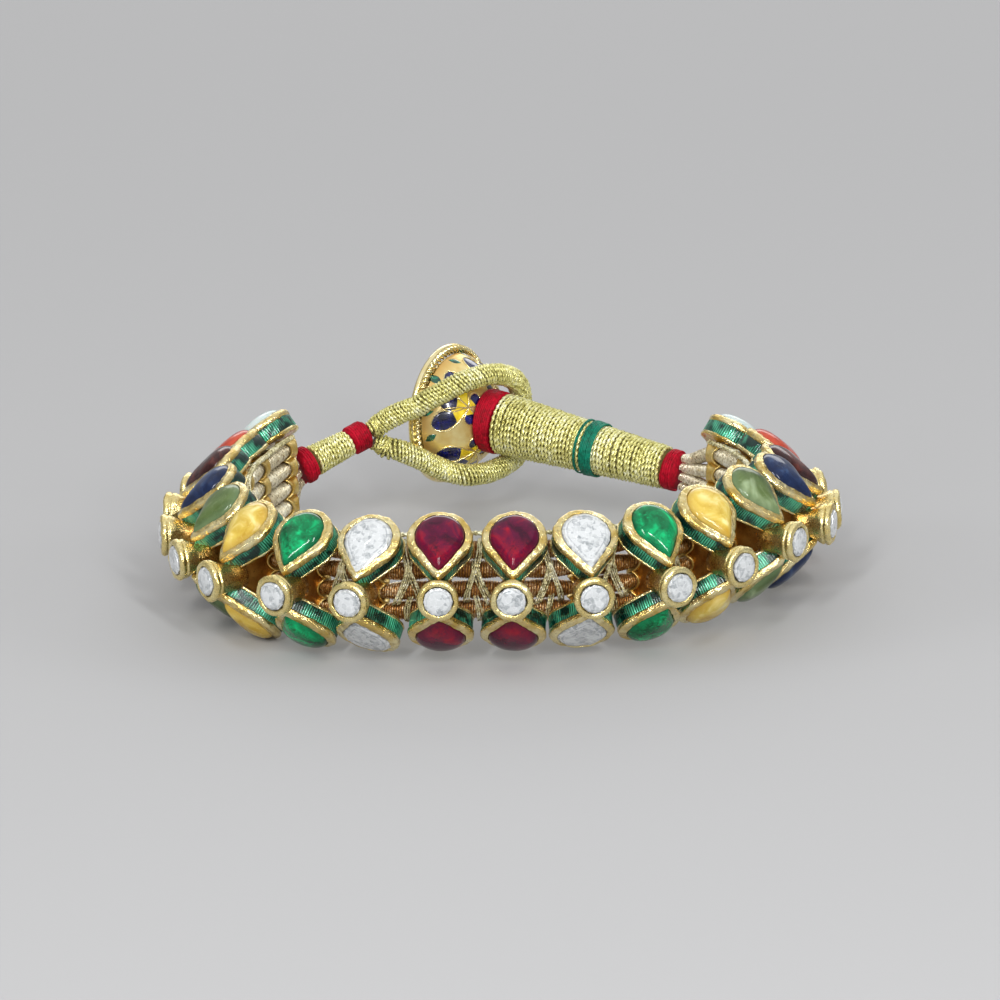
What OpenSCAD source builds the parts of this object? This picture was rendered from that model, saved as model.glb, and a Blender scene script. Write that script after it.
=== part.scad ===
// Bracelet of eighteen bow-tie gem settings strung on four metal-wound cords,
// closed at the back by a corded loop over a domed button.
// Z is up, the front faces -Y, and the ring stands on the lower edges of its settings.

/* [Ring of settings] */
// Distance along the cords from one setting to the next
pitch = 6.5; // [6.5:0.05:6.7]
// Height of the middle of the cords above the surface
mid_height = 7.8; // [7.8:0.05:8.3]
// From the cords out to the face of the round collets
face_out = 8; // [7.8:0.1:8.6]

/* [Pear bezels] */
// Width of a pear bezel
bezel_w = 6.5; // [6.2:0.1:6.6]
// Half height of the oval end of a pear bezel
bezel_end = 3; // [2.6:0.05:3.1]
// Half angle of the pear's point
point_angle = 41.5; // [40:0.5:45]
// Slope of the pear faces up from level
face_slope = 41; // [39:1:44]
// From the cords out to the pear's point
point_out = 6.4; // [6:0.05:6.6]
// From the middle up to the pear's point
point_up = 2; // [1.8:0.05:2.2]
// Depth of a pear bezel from its rim to its back
bezel_depth = 2.3; // [2:0.05:2.35]
// Height of the gold rim above the enamelled wall
rim_h = 0.75; // [0.5:0.05:1]
// Step from the rim in to the enamelled wall
wall_in = 0.25; // [0.2:0.05:0.4]

/* [Gems] */
// Width of the gold rim round a pear stone
rim_w = 0.82; // [0.7:0.02:0.95]
// Rise of a rounded stone above its rim
dome_h = 0.95; // [0.6:0.05:1.2]
// Rise of a flat-cut stone above its rim
table_h = 0.4; // [0.3:0.05:0.6]
// Clearance between a stone and its seat
seat_gap = 0.06; // [0.04:0.01:0.1]
// Diameter of the round diamonds
diamond_d = 2.9; // [2.6:0.1:3]
// Outer diameter of the round collets
collet_d = 4.1; // [3.9:0.05:4.4]

/* [Cords] */
// Diameter of each cord
cord_d = 1.4; // [1.3:0.02:1.42]
// Height from one cord to the next
cord_step = 2; // [1.96:0.01:2.02]
// Bore of the collars that the cords pass through
collar_bore = 1.66; // [1.66:0.01:1.7]
// Outer diameter of the collars
collar_d = 2.24; // [2.2:0.01:2.3]
// Length of the collars along the cords
collar_l = 0.9; // [0.8:0.1:1]

/* [Clasp] */
// Diameter of the wound neck at the cords
neck_d = 3.4; // [3:0.1:3.6]
// Diameter of the wound neck where the loop forks
neck_thin_d = 2.85; // [2.6:0.05:3]
// Length of the wound neck between its bands
neck_l = 4.9; // [4:0.1:5.5]
// Diameter of the loop's cord
loop_d = 2.35; // [2:0.05:2.4]
// Diameter of the wound cone at the cords
cone_small_d = 4.5; // [4:0.1:4.6]
// Diameter of the wound cone at the button
cone_big_d = 6.5; // [6.2:0.1:6.6]
// Length of the wound cone between its bands
cone_l = 19.1; // [18:0.1:19.3]
// Diameter of the button over its rope edge
button_d = 14.5; // [13.8:0.1:14.6]
// Radius of the ball that the button's dome is part of
dome_r = 6.7; // [6.6:0.05:6.8]
// Wall of the button's dome
shell_t = 0.7; // [0.5:0.05:0.9]

/* [Hidden] */
count = 18;
// Stretches of the ring, from the left back round the front: length, bend radius
stretches = [
    [25.5, 33],
    [18.5, 20],
    [19.5, 32],
    [20, 27],
    [20, 22],
    [20, 20],
];
LENGTH = 0;
BEND = 1;
// Where the first setting stands: x, y, heading of the cords
first_stand = [-21.95, 19.65, -120];
// Moves the middle of the bracelet's box onto the origin
centre_shift = [0.26, -5.74];
// The settings in order: gem, turn about the upright, roll about the outward axis, how far
// it sits above the middle of the ring, and how far it is slid along the cords
settings = [
    ["moonstone", 0, 0, -0.2, 0],
    ["coral", 1, 0, -0.55, 0],
    ["hessonite", 0, 0.5, -0.35, -0.1],
    ["sapphire", 0, 0, -0.5, -0.15],
    ["cats_eye", 6, -1, -0.6, -0.2],
    ["topaz", -1, -0.5, -0.85, -0.45],
    ["emerald", 2, 0, -0.4, -0.2],
    ["diamond", -3, 2.5, -0.15, -0.05],
    ["ruby", 6, 1, 0.4, -0.2],
    ["ruby", -7, 2, 0.3, 0.5],
    ["diamond", -5, 3.5, 0, 0.3],
    ["emerald", 1, 4.5, -0.1, 0.15],
    ["topaz", -1.5, 2, 0.4, 0.1],
    ["cats_eye", 3, -2, 0.9, -0.1],
    ["sapphire", 1, 0, 0.3, 0.3],
    ["hessonite", 2, -1, -0.7, 0.2],
    ["coral", 2, -1, -0.8, 0],
    ["moonstone", 2, -1, -0.8, -0.15],
];
GEM = 0;
TURN = 1;
ROLL = 2;
LIFT = 3;
SLIDE = 4;

gold = "#d8b13c";
thread_gold = "#d9d27a";
crimson = "#b5121f";
green = "#0b7a5a";
cord_colour = "#c9a878";
gem_colours = [
    ["moonstone", "#e6f0ec"],
    ["coral", "#e0503a"],
    ["hessonite", "#4a1a1c"],
    ["sapphire", "#24326e"],
    ["cats_eye", "#8fa886"],
    ["topaz", "#e8b53a"],
    ["emerald", "#10a862"],
    ["diamond", "#eef2f6"],
    ["ruby", "#b00f35"],
];

// Angles and sizes of a pear outline
bezel_a = bezel_w / 2;
stone_a = bezel_a - rim_w;
stone_b = bezel_end - rim_w;
point_spread = tan(point_angle);
bezel_mid = sqrt(pow(bezel_end, 2) + pow(bezel_a / point_spread, 2));
outline_steps = 14;
chamfer = 0.2;
back_lip = 0.3;
back_out = 0.12;
seat_depth = 1.3;
stone_sink = 1.2;

// Sizes of the round collets, along the outward axis
stem_d = 3.1;
stem_end = 3.9;
collet_lip = 0.55;
collet_flare = 1.5;
collet_seat = 0.75;
diamond_sink = 0.65;
diamond_rise = 0.25;
diamond_table = 0.72;
diamond_sides = 10;

// The comb of collars and the web that ties it to the bezels' backs
web_t = 0.7;
web_reach = 3.95;
web_root = 0.9;
web_top = 3.9;
cord_rows = [1.5, 0.5, -0.5, -1.5];
cord_sides = 8;
bundle_step = 1;
bundle_d = 0.86;
tail_steps = 5;
tail_gap = 0.25;
joint_gap = 0.05;

// The clasp: where each axis starts, and its turn in plan and rise from level
neck_start = [-20.6, 22.6, 0];
neck_turn = 32;
neck_rise = 16;
band_w = 1.2;
neck_band_d = 3.9;
fork_band_w = 2.05;
fork_band_d = 3.1;
cone_start = [18.1, 21.3, -1.1];
cone_turn = 151;
cone_rise = 7.8;
cone_band_w = 1.6;
cone_band_d = 4.3;
seat_band_w = 2;
seat_band_d = 6.6;
green_from = 7.5;
green_w = 1.5;
green_t = 0.16;
button_place = [-4.75, 34.1, 2.1];
button_turn = -32;
dome_drop = 2;
rope_d = 1.15;
plate_t = 0.9;
plate_gap = 0.06;
// Points that the upper arm of the loop runs through, from the fork round to the far end
arm_points = [
    [-13.49, 26.4, 2.75],
    [-12.71, 26.7, 3.08],
    [-11.71, 26.8, 3.66],
    [-10.16, 26.9, 4.38],
    [-8.51, 27, 4.95],
    [-7, 27.2, 5.75],
    [-3.4, 28.3, 7.2],
    [-0.4, 30.4, 7.25],
    [1.75, 33.4, 5.5],
    [2.2, 35.5, 1.9],
];
// Points that the lower arm runs through, from the far end back to the fork
lower_points = [
    [1.75, 33.8, -1.95],
    [-0.6, 30.8, -3],
    [-3.4, 28.5, -2.9],
    [-5.9, 28.1, -2.2],
    [-8.72, 27.2, -0.54],
    [-10.6, 27, 0.36],
    [-11.65, 27.2, 0.5],
    [-12.4, 27.3, 1],
    [-13.1, 27.2, 1.3],
];
// The loop's ends thin down over a number of steps of its route
loop_end_d = 1.3;
loop_taper = 8;
loop_sides = 10;
loop_steps = 4;
loop_side_axis = [-0.6, 0.8, 0];

function two(n) = n < 10 ? str("0", n) : str(n);

// Plan of the ring: the place and heading after a stretch that bends to the left
function after_stretch(p, length, bend) =
    let (turn = length / bend * 180 / PI)
    [
        p.x + bend * (sin(p.z + turn) - sin(p.z)),
        p.y + bend * (cos(p.z) - cos(p.z + turn)),
        p.z + turn,
    ];

// Place and heading at a distance along the cords from the first setting
function stand(s, p = first_stand, i = 0) =
    s <= stretches[i][LENGTH] || i == len(stretches) - 1
        ? after_stretch(p, s, stretches[i][BEND])
        : stand(s - stretches[i][LENGTH],
                after_stretch(p, stretches[i][LENGTH], stretches[i][BEND]), i + 1);

function unit(v) = v / norm(v);
function direction(turn, rise) = [cos(turn) * cos(rise), sin(turn) * cos(rise), sin(rise)];

// A point and its slope on a cubic curve that leaves p0 along v0 and reaches p1 along v1
function curve_point(p0, v0, v1, p1, t) =
    pow(1 - t, 3) * p0 + 3 * t * pow(1 - t, 2) * (p0 + v0)
    + 3 * t * t * (1 - t) * (p1 - v1) + pow(t, 3) * p1;

// Points of a smooth curve through a list of points
function through(points, steps) = [
    for (i = [0:len(points) - 2])
        let (
            before = i == 0 ? 2 * points[0] - points[1] : points[i - 1],
            after = i == len(points) - 2 ? 2 * points[i + 1] - points[i] : points[i + 2]
        )
        for (k = [0:steps - (i == len(points) - 2 ? 0 : 1)])
            curve_point(points[i], (points[i + 1] - before) / 6,
                        (after - points[i]) / 6, points[i + 1], k / steps)
];

// A tube of a given radius at each point of a route
module sweep(route, radii, sides, side_axis = [0, 0, 1]) {
    last = len(route) - 1;
    rings = [
        for (i = [0:last])
            let (
                along = unit(route[min(i + 1, last)] - route[max(i - 1, 0)]),
                across = unit(cross(along, side_axis)),
                up = cross(across, along)
            )
            for (k = [0:sides - 1])
                route[i] + radii[i] * (cos(k * 360 / sides) * across + sin(k * 360 / sides) * up)
    ];
    walls = [
        for (i = [0:last - 1])
            for (k = [0:sides - 1])
                let (next = (k + 1) % sides)
                [i * sides + k, (i + 1) * sides + k, (i + 1) * sides + next, i * sides + next]
    ];
    polyhedron(rings, concat(
        walls,
        [[for (k = [0:sides - 1]) k]],
        [[for (k = [sides - 1:-1:0]) last * sides + k]]
    ));
}

// Pear outline round its own middle, point towards -Y
function pear(a, b) =
    let (
        reach = sqrt(b * b + pow(a / point_spread, 2)),
        from = -asin(b / reach)
    )
    concat(
        [[0, -reach]],
        [for (k = [0:outline_steps])
            let (t = from + (180 - 2 * from) * k / outline_steps)
            [a * cos(t), b * sin(t)]]
    );

module pear_plate(inset, bottom, top) {
    translate([0, 0, bottom])
        linear_extrude(top - bottom)
            polygon(pear(bezel_a - inset, bezel_end - inset));
}

// Stone with a level for each row: height, share of the outline
module pear_stone(levels) {
    sides = outline_steps + 2;
    last = len(levels) - 1;
    points = [
        for (row = levels)
            for (p = pear(stone_a, stone_b))
                [p.x * row[1], p.y * row[1], row[0]]
    ];
    walls = [
        for (i = [0:last - 1])
            for (k = [0:sides - 1])
                let (next = (k + 1) % sides)
                [i * sides + k, (i + 1) * sides + k, (i + 1) * sides + next, i * sides + next]
    ];
    polyhedron(points, concat(
        walls,
        [[for (k = [0:sides - 1]) k]],
        [[for (k = [sides - 1:-1:0]) last * sides + k]]
    ));
}

// Puts children, drawn face up round a pear's middle, onto a setting's slope
module on_slope(side) {
    mirror([0, 0, side < 0 ? 1 : 0])
        translate([0, -point_out, point_up])
            rotate([face_slope, 0, 0])
                translate([0, bezel_mid, 0])
                    children();
}

// A column of the settings' table at half steps round the ring
function halfway(k, column) =
    (settings[floor(k / 2)][column] + settings[ceil(k / 2)][column]) / 2;

// Puts children on a place of the ring: X along the cords, Y inwards
module on_ring(i) {
    here = stand((i - 1) * pitch + settings[i - 1][SLIDE]);
    to_floor()
        translate([here.x, here.y, settings[i - 1][LIFT]])
            rotate([0, 0, here.z + settings[i - 1][TURN]])
                rotate([0, settings[i - 1][ROLL], 0])
                    children();
}

module to_floor() {
    translate([centre_shift.x, centre_shift.y, mid_height])
        children();
}

// Puts children on an axis that starts at a place, with Z along it
module on_axis(place, turn, rise) {
    to_floor()
        translate(place)
            rotate([0, 90 - rise, turn])
                children();
}

module pear_bezel() {
    difference() {
        union() {
            pear_plate(chamfer, -chamfer, 0);
            pear_plate(0, -rim_h, -chamfer);
            pear_plate(wall_in, -bezel_depth + back_lip, -rim_h);
            pear_plate(back_out, -bezel_depth, -bezel_depth + back_lip);
        }
        pear_plate(rim_w - seat_gap, -seat_depth, 1);
    }
}

module round_collet() {
    rotate([90, 0, 0])
        rotate_extrude($fn = 48)
            polygon([
                [0, stem_end],
                [stem_d / 2, stem_end],
                [stem_d / 2, face_out - collet_flare],
                [collet_d / 2, face_out - collet_lip],
                [collet_d / 2 - 0.1, face_out],
                [diamond_d / 2 + seat_gap, face_out],
                [diamond_d / 2 + seat_gap, face_out - collet_seat],
                [0, face_out - collet_seat],
            ]);
}

module comb() {
    rotate([90, 0, 90])
        translate([0, 0, -web_t / 2])
            linear_extrude(web_t)
                polygon([
                    [-web_reach, web_root],
                    [0, web_top],
                    [0, -web_top],
                    [-web_reach, -web_root],
                ]);
    for (row = cord_rows)
        translate([-collar_l / 2, 0, row * cord_step])
            rotate([0, 90, 0])
                cylinder(h = collar_l, d = collar_d, $fn = 32);
}

module setting(i) {
    color(gold)
        on_ring(i)
            difference() {
                union() {
                    on_slope(1) pear_bezel();
                    on_slope(-1) pear_bezel();
                    round_collet();
                    comb();
                }
                for (row = cord_rows)
                    translate([-collar_l, 0, row * cord_step])
                        rotate([0, 90, 0])
                            cylinder(h = 2 * collar_l, d = collar_bore, $fn = 32);
            }
}

module gem(i) {
    name = settings[i - 1][GEM];
    shade = [for (row = gem_colours) if (row[0] == name) row[1]][0];
    color(shade)
        if (name == "diamond")
            pear_stone([[-stone_sink, 1], [0.05, 1], [table_h, 0.72]]);
        else
            pear_stone([[-stone_sink, 1], [0.05, 1], [dome_h * 0.62, 0.82], [dome_h, 0.4]]);
}

module upper_stone(i) {
    on_ring(i) on_slope(1) gem(i);
}

module lower_stones() {
    for (i = [1:count])
        on_ring(i) on_slope(-1) gem(i);
}

module round_diamonds() {
    color("#eef2f6")
        for (i = [1:count])
            on_ring(i)
                rotate([90, 0, 0])
                    translate([0, 0, face_out])
                        hull() {
                            translate([0, 0, -diamond_sink])
                                cylinder(h = diamond_sink, d = diamond_d, $fn = diamond_sides);
                            cylinder(h = diamond_rise, d = diamond_d * diamond_table, $fn = diamond_sides);
                        }
}

// The route of one cord: the fan at the neck, the ring, and the fan at the cone
function cord_route(row) =
    let (
        start = stand(0),
        end = stand((count - 1) * pitch),
        ring = [for (k = [0:2 * (count - 1)])
            let (here = stand(k * pitch / 2 + halfway(k, SLIDE)))
            [here.x, here.y, row * cord_step + halfway(k, LIFT)]],
        neck_way = direction(neck_turn, neck_rise),
        cone_way = direction(cone_turn, cone_rise),
        neck_side = row * bundle_step * direction(neck_turn, neck_rise + 90),
        cone_side = row * bundle_step * direction(cone_turn, cone_rise + 90),
        left_out = -collar_l * [cos(start.z), sin(start.z), 0],
        right_out = collar_l * [cos(end.z), sin(end.z), 0],
        left_end = neck_start - tail_gap * neck_way + neck_side,
        right_end = cone_start - tail_gap * cone_way + cone_side,
        left = [for (k = [0:tail_steps - 1])
            curve_point(ring[0] + left_out / 2, left_out, neck_way, left_end, 1 - k / tail_steps)],
        right = [for (k = [1:tail_steps])
            curve_point(ring[len(ring) - 1] + right_out / 2, right_out, 1.5 * cone_way,
                        right_end, k / tail_steps)]
    )
    concat(left, [ring[0] + left_out / 2], ring, [ring[len(ring) - 1] + right_out / 2], right);

// The cords thin down where they run into the wound bands
function cord_radii(route_len) = [
    for (k = [0:route_len - 1])
        let (
            from_end = min(k, route_len - 1 - k),
            share = min(1, from_end / tail_steps)
        )
        (bundle_d + (cord_d - bundle_d) * share) / 2
];

module cord(i) {
    route = cord_route(cord_rows[i - 1]);
    color(cord_colour)
        to_floor()
            sweep(route, cord_radii(len(route)), cord_sides);
}

module neck_end_band() {
    color(crimson)
        on_axis(neck_start, neck_turn, neck_rise)
            cylinder(h = band_w, d = neck_band_d, $fn = 48);
}

module neck_wrap() {
    color(thread_gold)
        on_axis(neck_start, neck_turn, neck_rise)
            translate([0, 0, band_w + joint_gap])
                cylinder(h = neck_l, d1 = neck_d, d2 = neck_thin_d, $fn = 48);
}

module neck_fork_band() {
    color(crimson)
        on_axis(neck_start, neck_turn, neck_rise)
            translate([0, 0, band_w + neck_l + 2 * joint_gap])
                cylinder(h = fork_band_w, d = fork_band_d, $fn = 48);
}

function loop_radii(route_len) = [
    for (k = [0:route_len - 1])
        let (share = min(1, min(k, route_len - 1 - k) / loop_taper))
        (loop_end_d + (loop_d - loop_end_d) * share) / 2
];

module clasp_loop() {
    route = through(concat(arm_points, lower_points), loop_steps);
    color(thread_gold)
        to_floor()
            sweep(route, loop_radii(len(route)), loop_sides, loop_side_axis);
}

module on_cone(distance) {
    on_axis(cone_start, cone_turn, cone_rise)
        translate([0, 0, distance])
            children();
}

function cone_d(distance) =
    cone_small_d + (cone_big_d - cone_small_d) * distance / cone_l;

module cone_end_band() {
    color(crimson)
        on_cone(0)
            cylinder(h = cone_band_w, d = cone_band_d, $fn = 48);
}

module cone_wrap() {
    color(thread_gold)
        on_cone(cone_band_w + joint_gap)
            cylinder(h = cone_l, d1 = cone_small_d, d2 = cone_big_d, $fn = 64);
}

module cone_green_band() {
    near_d = cone_d(green_from) + 2 * joint_gap;
    far_d = cone_d(green_from + green_w) + 2 * joint_gap;
    color(green)
        on_cone(cone_band_w + joint_gap + green_from)
            difference() {
                cylinder(h = green_w, d1 = near_d + 2 * green_t, d2 = far_d + 2 * green_t, $fn = 64);
                translate([0, 0, -green_w])
                    cylinder(h = 3 * green_w, d1 = near_d - (far_d - near_d),
                             d2 = far_d + (far_d - near_d), $fn = 64);
            }
}

module dome_ball(radius) {
    on_axis(button_place, button_turn, 0)
        translate([0, 0, -dome_drop])
            sphere(r = radius, $fn = 96);
}

module cone_seat_band() {
    color(crimson)
        difference() {
            on_cone(cone_band_w + cone_l + 2 * joint_gap)
                cylinder(h = seat_band_w, d = seat_band_d, $fn = 64);
            dome_ball(dome_r + joint_gap);
        }
}

module button_shell() {
    color(gold)
        difference() {
            dome_ball(dome_r);
            dome_ball(dome_r - shell_t);
            on_axis(button_place, button_turn, 0)
                translate([0, 0, -2 * dome_r])
                    cylinder(h = 2 * dome_r, r = 2 * dome_r, $fn = 48);
        }
}

module button_rim() {
    color(gold)
        on_axis(button_place, button_turn, 0)
            translate([0, 0, -plate_gap - rope_d / 2])
                rotate_extrude($fn = 72)
                    translate([button_d / 2 - rope_d / 2, 0])
                        circle(d = rope_d, $fn = 24);
}

module button_face() {
    plate_d = button_d - 2 * rope_d - 2 * plate_gap;
    color(gold)
        on_axis(button_place, button_turn, 0)
            translate([0, 0, -plate_gap - plate_t])
                cylinder(h = plate_t, d = plate_d, $fn = 72);
}

for (i = [1:count]) {
    setting(i);
    upper_stone(i);
}
lower_stones();
round_diamonds();
for (i = [1:4]) {
    cord(i);
}
neck_end_band();
neck_wrap();
neck_fork_band();
clasp_loop();
cone_end_band();
cone_wrap();
cone_green_band();
cone_seat_band();
button_shell();
button_rim();
button_face();
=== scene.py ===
# Navratna bracelet: eighteen enamelled bow-tie settings on four wound cords, with its
# corded loop over the domed button. Lengths are in millimetres until a piece is finished.
import math
import bpy
import bmesh
import numpy as np
from mathutils import Matrix, Vector, noise


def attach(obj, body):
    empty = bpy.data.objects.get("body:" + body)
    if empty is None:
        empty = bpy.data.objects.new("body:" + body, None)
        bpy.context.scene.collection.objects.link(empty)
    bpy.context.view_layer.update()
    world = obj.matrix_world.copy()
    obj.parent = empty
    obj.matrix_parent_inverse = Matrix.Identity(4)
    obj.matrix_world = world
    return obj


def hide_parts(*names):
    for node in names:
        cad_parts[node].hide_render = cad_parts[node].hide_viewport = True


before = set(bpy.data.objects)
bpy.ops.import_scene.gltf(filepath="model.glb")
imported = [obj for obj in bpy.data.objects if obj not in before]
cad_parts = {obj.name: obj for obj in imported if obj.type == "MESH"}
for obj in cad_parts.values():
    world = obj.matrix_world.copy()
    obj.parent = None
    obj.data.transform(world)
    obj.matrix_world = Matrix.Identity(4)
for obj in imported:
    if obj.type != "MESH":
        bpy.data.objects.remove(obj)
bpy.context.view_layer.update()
noise.seed_set(5)

MM = 0.001
CENTRE = Vector((0.26, -5.74, 7.8))

# Camera
ELEVATION = math.radians(15.86)
ROLL = math.radians(1.5)
DISTANCE, LENS, SENSOR = 957, 344.5, 36
AIM_RIGHT, AIM_UP = -0.35, 2.31

look_up = Vector((0, math.sin(ELEVATION), math.cos(ELEVATION)))
look_back = Vector((0, -math.cos(ELEVATION), math.sin(ELEVATION)))
cam_right = Vector((1, 0, 0)) * math.cos(ROLL) - look_up * math.sin(ROLL)
cam_up = Vector((1, 0, 0)) * math.sin(ROLL) + look_up * math.cos(ROLL)
aim = CENTRE + cam_right * AIM_RIGHT + cam_up * AIM_UP
camera = bpy.data.objects.new("camera", bpy.data.cameras.new("camera"))
bpy.context.collection.objects.link(camera)
camera.data.sensor_width = SENSOR
camera.data.lens = LENS
camera.data.clip_start = 0.05
camera.data.clip_end = 20
stand_at = (aim + look_back * DISTANCE) * MM
turned = Matrix((cam_right, cam_up, look_back)).transposed().to_4x4()
camera.matrix_world = Matrix.Translation(stand_at) @ turned
bpy.context.scene.camera = camera

# The plan of the ring
PITCH = 6.5
STRETCHES = ((25.5, 33), (18.5, 20), (19.5, 32), (20, 27), (20, 22), (20, 20))
FIRST_STAND = (-21.95, 19.65, -120)
# gem, turn, roll, lift, slide along the cords
SETTINGS = (
    ("moonstone", 0, 0, -0.2, 0),
    ("coral", 1, 0, -0.55, 0),
    ("hessonite", 0, 0.5, -0.35, -0.1),
    ("sapphire", 0, 0, -0.5, -0.15),
    ("cats_eye", 6, -1, -0.6, -0.2),
    ("topaz", -1, -0.5, -0.85, -0.45),
    ("emerald", 2, 0, -0.4, -0.2),
    ("diamond", -3, 2.5, -0.15, -0.05),
    ("ruby", 6, 1, 0.4, -0.2),
    ("ruby", -7, 2, 0.3, 0.5),
    ("diamond", -5, 3.5, 0, 0.3),
    ("emerald", 1, 4.5, -0.1, 0.15),
    ("topaz", -1.5, 2, 0.4, 0.1),
    ("cats_eye", 3, -2, 0.9, -0.1),
    ("sapphire", 1, 0, 0.3, 0.3),
    ("hessonite", 2, -1, -0.7, 0.2),
    ("coral", 2, -1, -0.8, 0),
    ("moonstone", 2, -1, -0.8, -0.15),
)
COUNT = len(SETTINGS)


def stand(s):
    """Place and heading of the cords at a distance from the first setting."""
    x, y, heading = FIRST_STAND
    for n, (length, bend) in enumerate(STRETCHES):
        step = s if n == len(STRETCHES) - 1 else min(s, length)
        turn = math.degrees(step / bend)
        a, b = math.radians(heading), math.radians(heading + turn)
        x += bend * (math.sin(b) - math.sin(a))
        y += bend * (math.cos(a) - math.cos(b))
        heading += turn
        s -= step
        if s <= 0:
            break
    return x, y, heading


def turn_about(axis, degrees):
    return Matrix.Rotation(math.radians(degrees), 4, axis)


def on_ring(i):
    """Place of a setting: X along the cords, Y inwards, Z up."""
    gem, turn, roll, lift, slide = SETTINGS[i]
    x, y, heading = stand(i * PITCH + slide)
    place = Matrix.Translation(CENTRE + Vector((x, y, lift)))
    return place @ turn_about("Z", heading + turn) @ turn_about("Y", roll)


def halfway(k, column):
    """A column of the settings' table at half steps round the ring."""
    return (SETTINGS[k // 2][column] + SETTINGS[(k + 1) // 2][column]) / 2


BEZEL_A, BEZEL_B = 3.25, 3.0
POINT_ANGLE, POINT_OUT, POINT_UP, FACE_SLOPE = 41.5, 6.4, 2.0, 41
SPREAD = math.tan(math.radians(POINT_ANGLE))
BEZEL_MID = math.hypot(BEZEL_B, BEZEL_A / SPREAD)
RIM_W = 0.82


def on_slope(side):
    """Place of a pear on its setting: face up round its own middle, point towards -Y."""
    flip = Matrix.Scale(-1, 4, (0, 0, 1)) if side < 0 else Matrix.Identity(4)
    slope = Matrix.Translation((0, -POINT_OUT, POINT_UP)) @ turn_about("X", FACE_SLOPE)
    return flip @ slope @ Matrix.Translation((0, BEZEL_MID, 0))


def on_axis(place, turn, rise):
    """Place on an axis, with Z along it."""
    here = Matrix.Translation(CENTRE + Vector(place))
    return here @ turn_about("Z", turn) @ turn_about("Y", 90 - rise)


# Finishes
def feed(tree, node, inputs):
    """Links a socket to each named input of a node, or sets its value. Colours are three
    numbers."""
    for key, value in inputs.items():
        if isinstance(value, bpy.types.NodeSocket):
            tree.links.new(value, node.inputs[key])
        elif node.inputs[key].type == "RGBA":
            node.inputs[key].default_value = (*value, 1)
        else:
            node.inputs[key].default_value = value
    return node


def add(tree, kind, inputs, **settings):
    made = tree.nodes.new(kind)
    for key, value in settings.items():
        setattr(made, key, value)
    return feed(tree, made, inputs)


def maths(tree, operation, a, b, c=0.0):
    return add(tree, "ShaderNodeMath", {0: a, 1: b, 2: c}, operation=operation).outputs[0]


def blend(tree, share, a, b, how="MIX"):
    made = add(tree, "ShaderNodeMix", {0: share, 6: a, 7: b}, data_type="RGBA", blend_type=how)
    return made.outputs[2]


def tint(tree, tone, share, strength, colour):
    """Lays a colour over a tone where a share says, at most at a strength."""
    return blend(tree, maths(tree, "MULTIPLY", share, strength), tone, colour)


def noise_at(tree, where, scale, detail=2.0, rough=0.5, twist=0.0, out=0):
    made = add(tree, "ShaderNodeTexNoise", {"Vector": where, "Scale": scale, "Detail": detail,
                                            "Roughness": rough, "Distortion": twist})
    return made.outputs[out]


def between(tree, value, low, high, to_low=0.0, to_high=1.0):
    made = add(tree, "ShaderNodeMapRange", {0: value, 1: low, 2: high, 3: to_low, 4: to_high})
    return made.outputs[0]


def object_mm(tree):
    where = add(tree, "ShaderNodeTexCoord", {}).outputs["Object"]
    return add(tree, "ShaderNodeVectorMath", {0: where, 3: 1000.0}, operation="SCALE").outputs[0]


def attribute(tree, name, out="Fac"):
    return add(tree, "ShaderNodeAttribute", {}, attribute_name=name).outputs[out]


def own_length(tree):
    """A place along the pear or the collet that a piece was stamped from."""
    return add(tree, "ShaderNodeSeparateXYZ", {0: attribute(tree, "local", "Vector")}).outputs[1]


def new_group(name, values, gives):
    """A group that takes a place and some values, and the sockets at both its ends."""
    group = bpy.data.node_groups.new(name, "ShaderNodeTree")
    group.interface.new_socket("Vector", in_out="INPUT", socket_type="NodeSocketVector")
    for label, value in values.items():
        sock = group.interface.new_socket(label, in_out="INPUT", socket_type="NodeSocketFloat")
        sock.default_value = value
    for label in gives:
        group.interface.new_socket(label, in_out="OUTPUT", socket_type="NodeSocketFloat")
    return group, group.nodes.new("NodeGroupInput").outputs, group.nodes.new("NodeGroupOutput")


def use(tree, group, **inputs):
    return add(tree, "ShaderNodeGroup", inputs, node_tree=group).outputs


# Hand-worked metal: soft dents, fine scratches, colour drift and small dark pits
worked, take, give = new_group("worked metal", {"Dents": 1.6, "Pits": 0.62},
                               ("Height", "Drift", "Pit", "Fine"))
dents = noise_at(worked, take["Vector"], take["Dents"], 2.0, 0.55)
fine = noise_at(worked, take["Vector"], 9.0, 4.0, 0.6)
pit = noise_at(worked, take["Vector"], 5.0, 2.0, 0.5, 0.6)
feed(worked, give, {"Height": maths(worked, "MULTIPLY_ADD", fine, 0.22, dents),
                    "Drift": noise_at(worked, take["Vector"], 0.55, 3.0, 0.6),
                    "Pit": between(worked, pit, take["Pits"], 0.78), "Fine": fine})

# Cloudy tones in an enamelled wall, and the fine scratches of its engraving
streaks, take, give = new_group("engraved wall", {"Scale": 3.0}, ("Scratch", "Cloud"))
squeeze = add(streaks, "ShaderNodeVectorMath", {0: take["Vector"], 1: (1.0, 1.0, 0.2)},
              operation="MULTIPLY").outputs[0]
feed(streaks, give, {"Scratch": noise_at(streaks, squeeze, take["Scale"], 3.0, 0.65),
                     "Cloud": noise_at(streaks, take["Vector"], 0.55, 3.0, 0.6, 0.8)})

# Depth inside a stone: slow clouds and feathery flaws
depths, take, give = new_group("stone depths", {"Scale": 0.5}, ("Cloud", "Flaw"))
feed(depths, give, {"Cloud": noise_at(depths, take["Vector"], take["Scale"], 3.0, 0.55, 0.8),
                    "Flaw": noise_at(depths, take["Vector"], 1.6, 5.0, 0.7, 1.5)})


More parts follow.
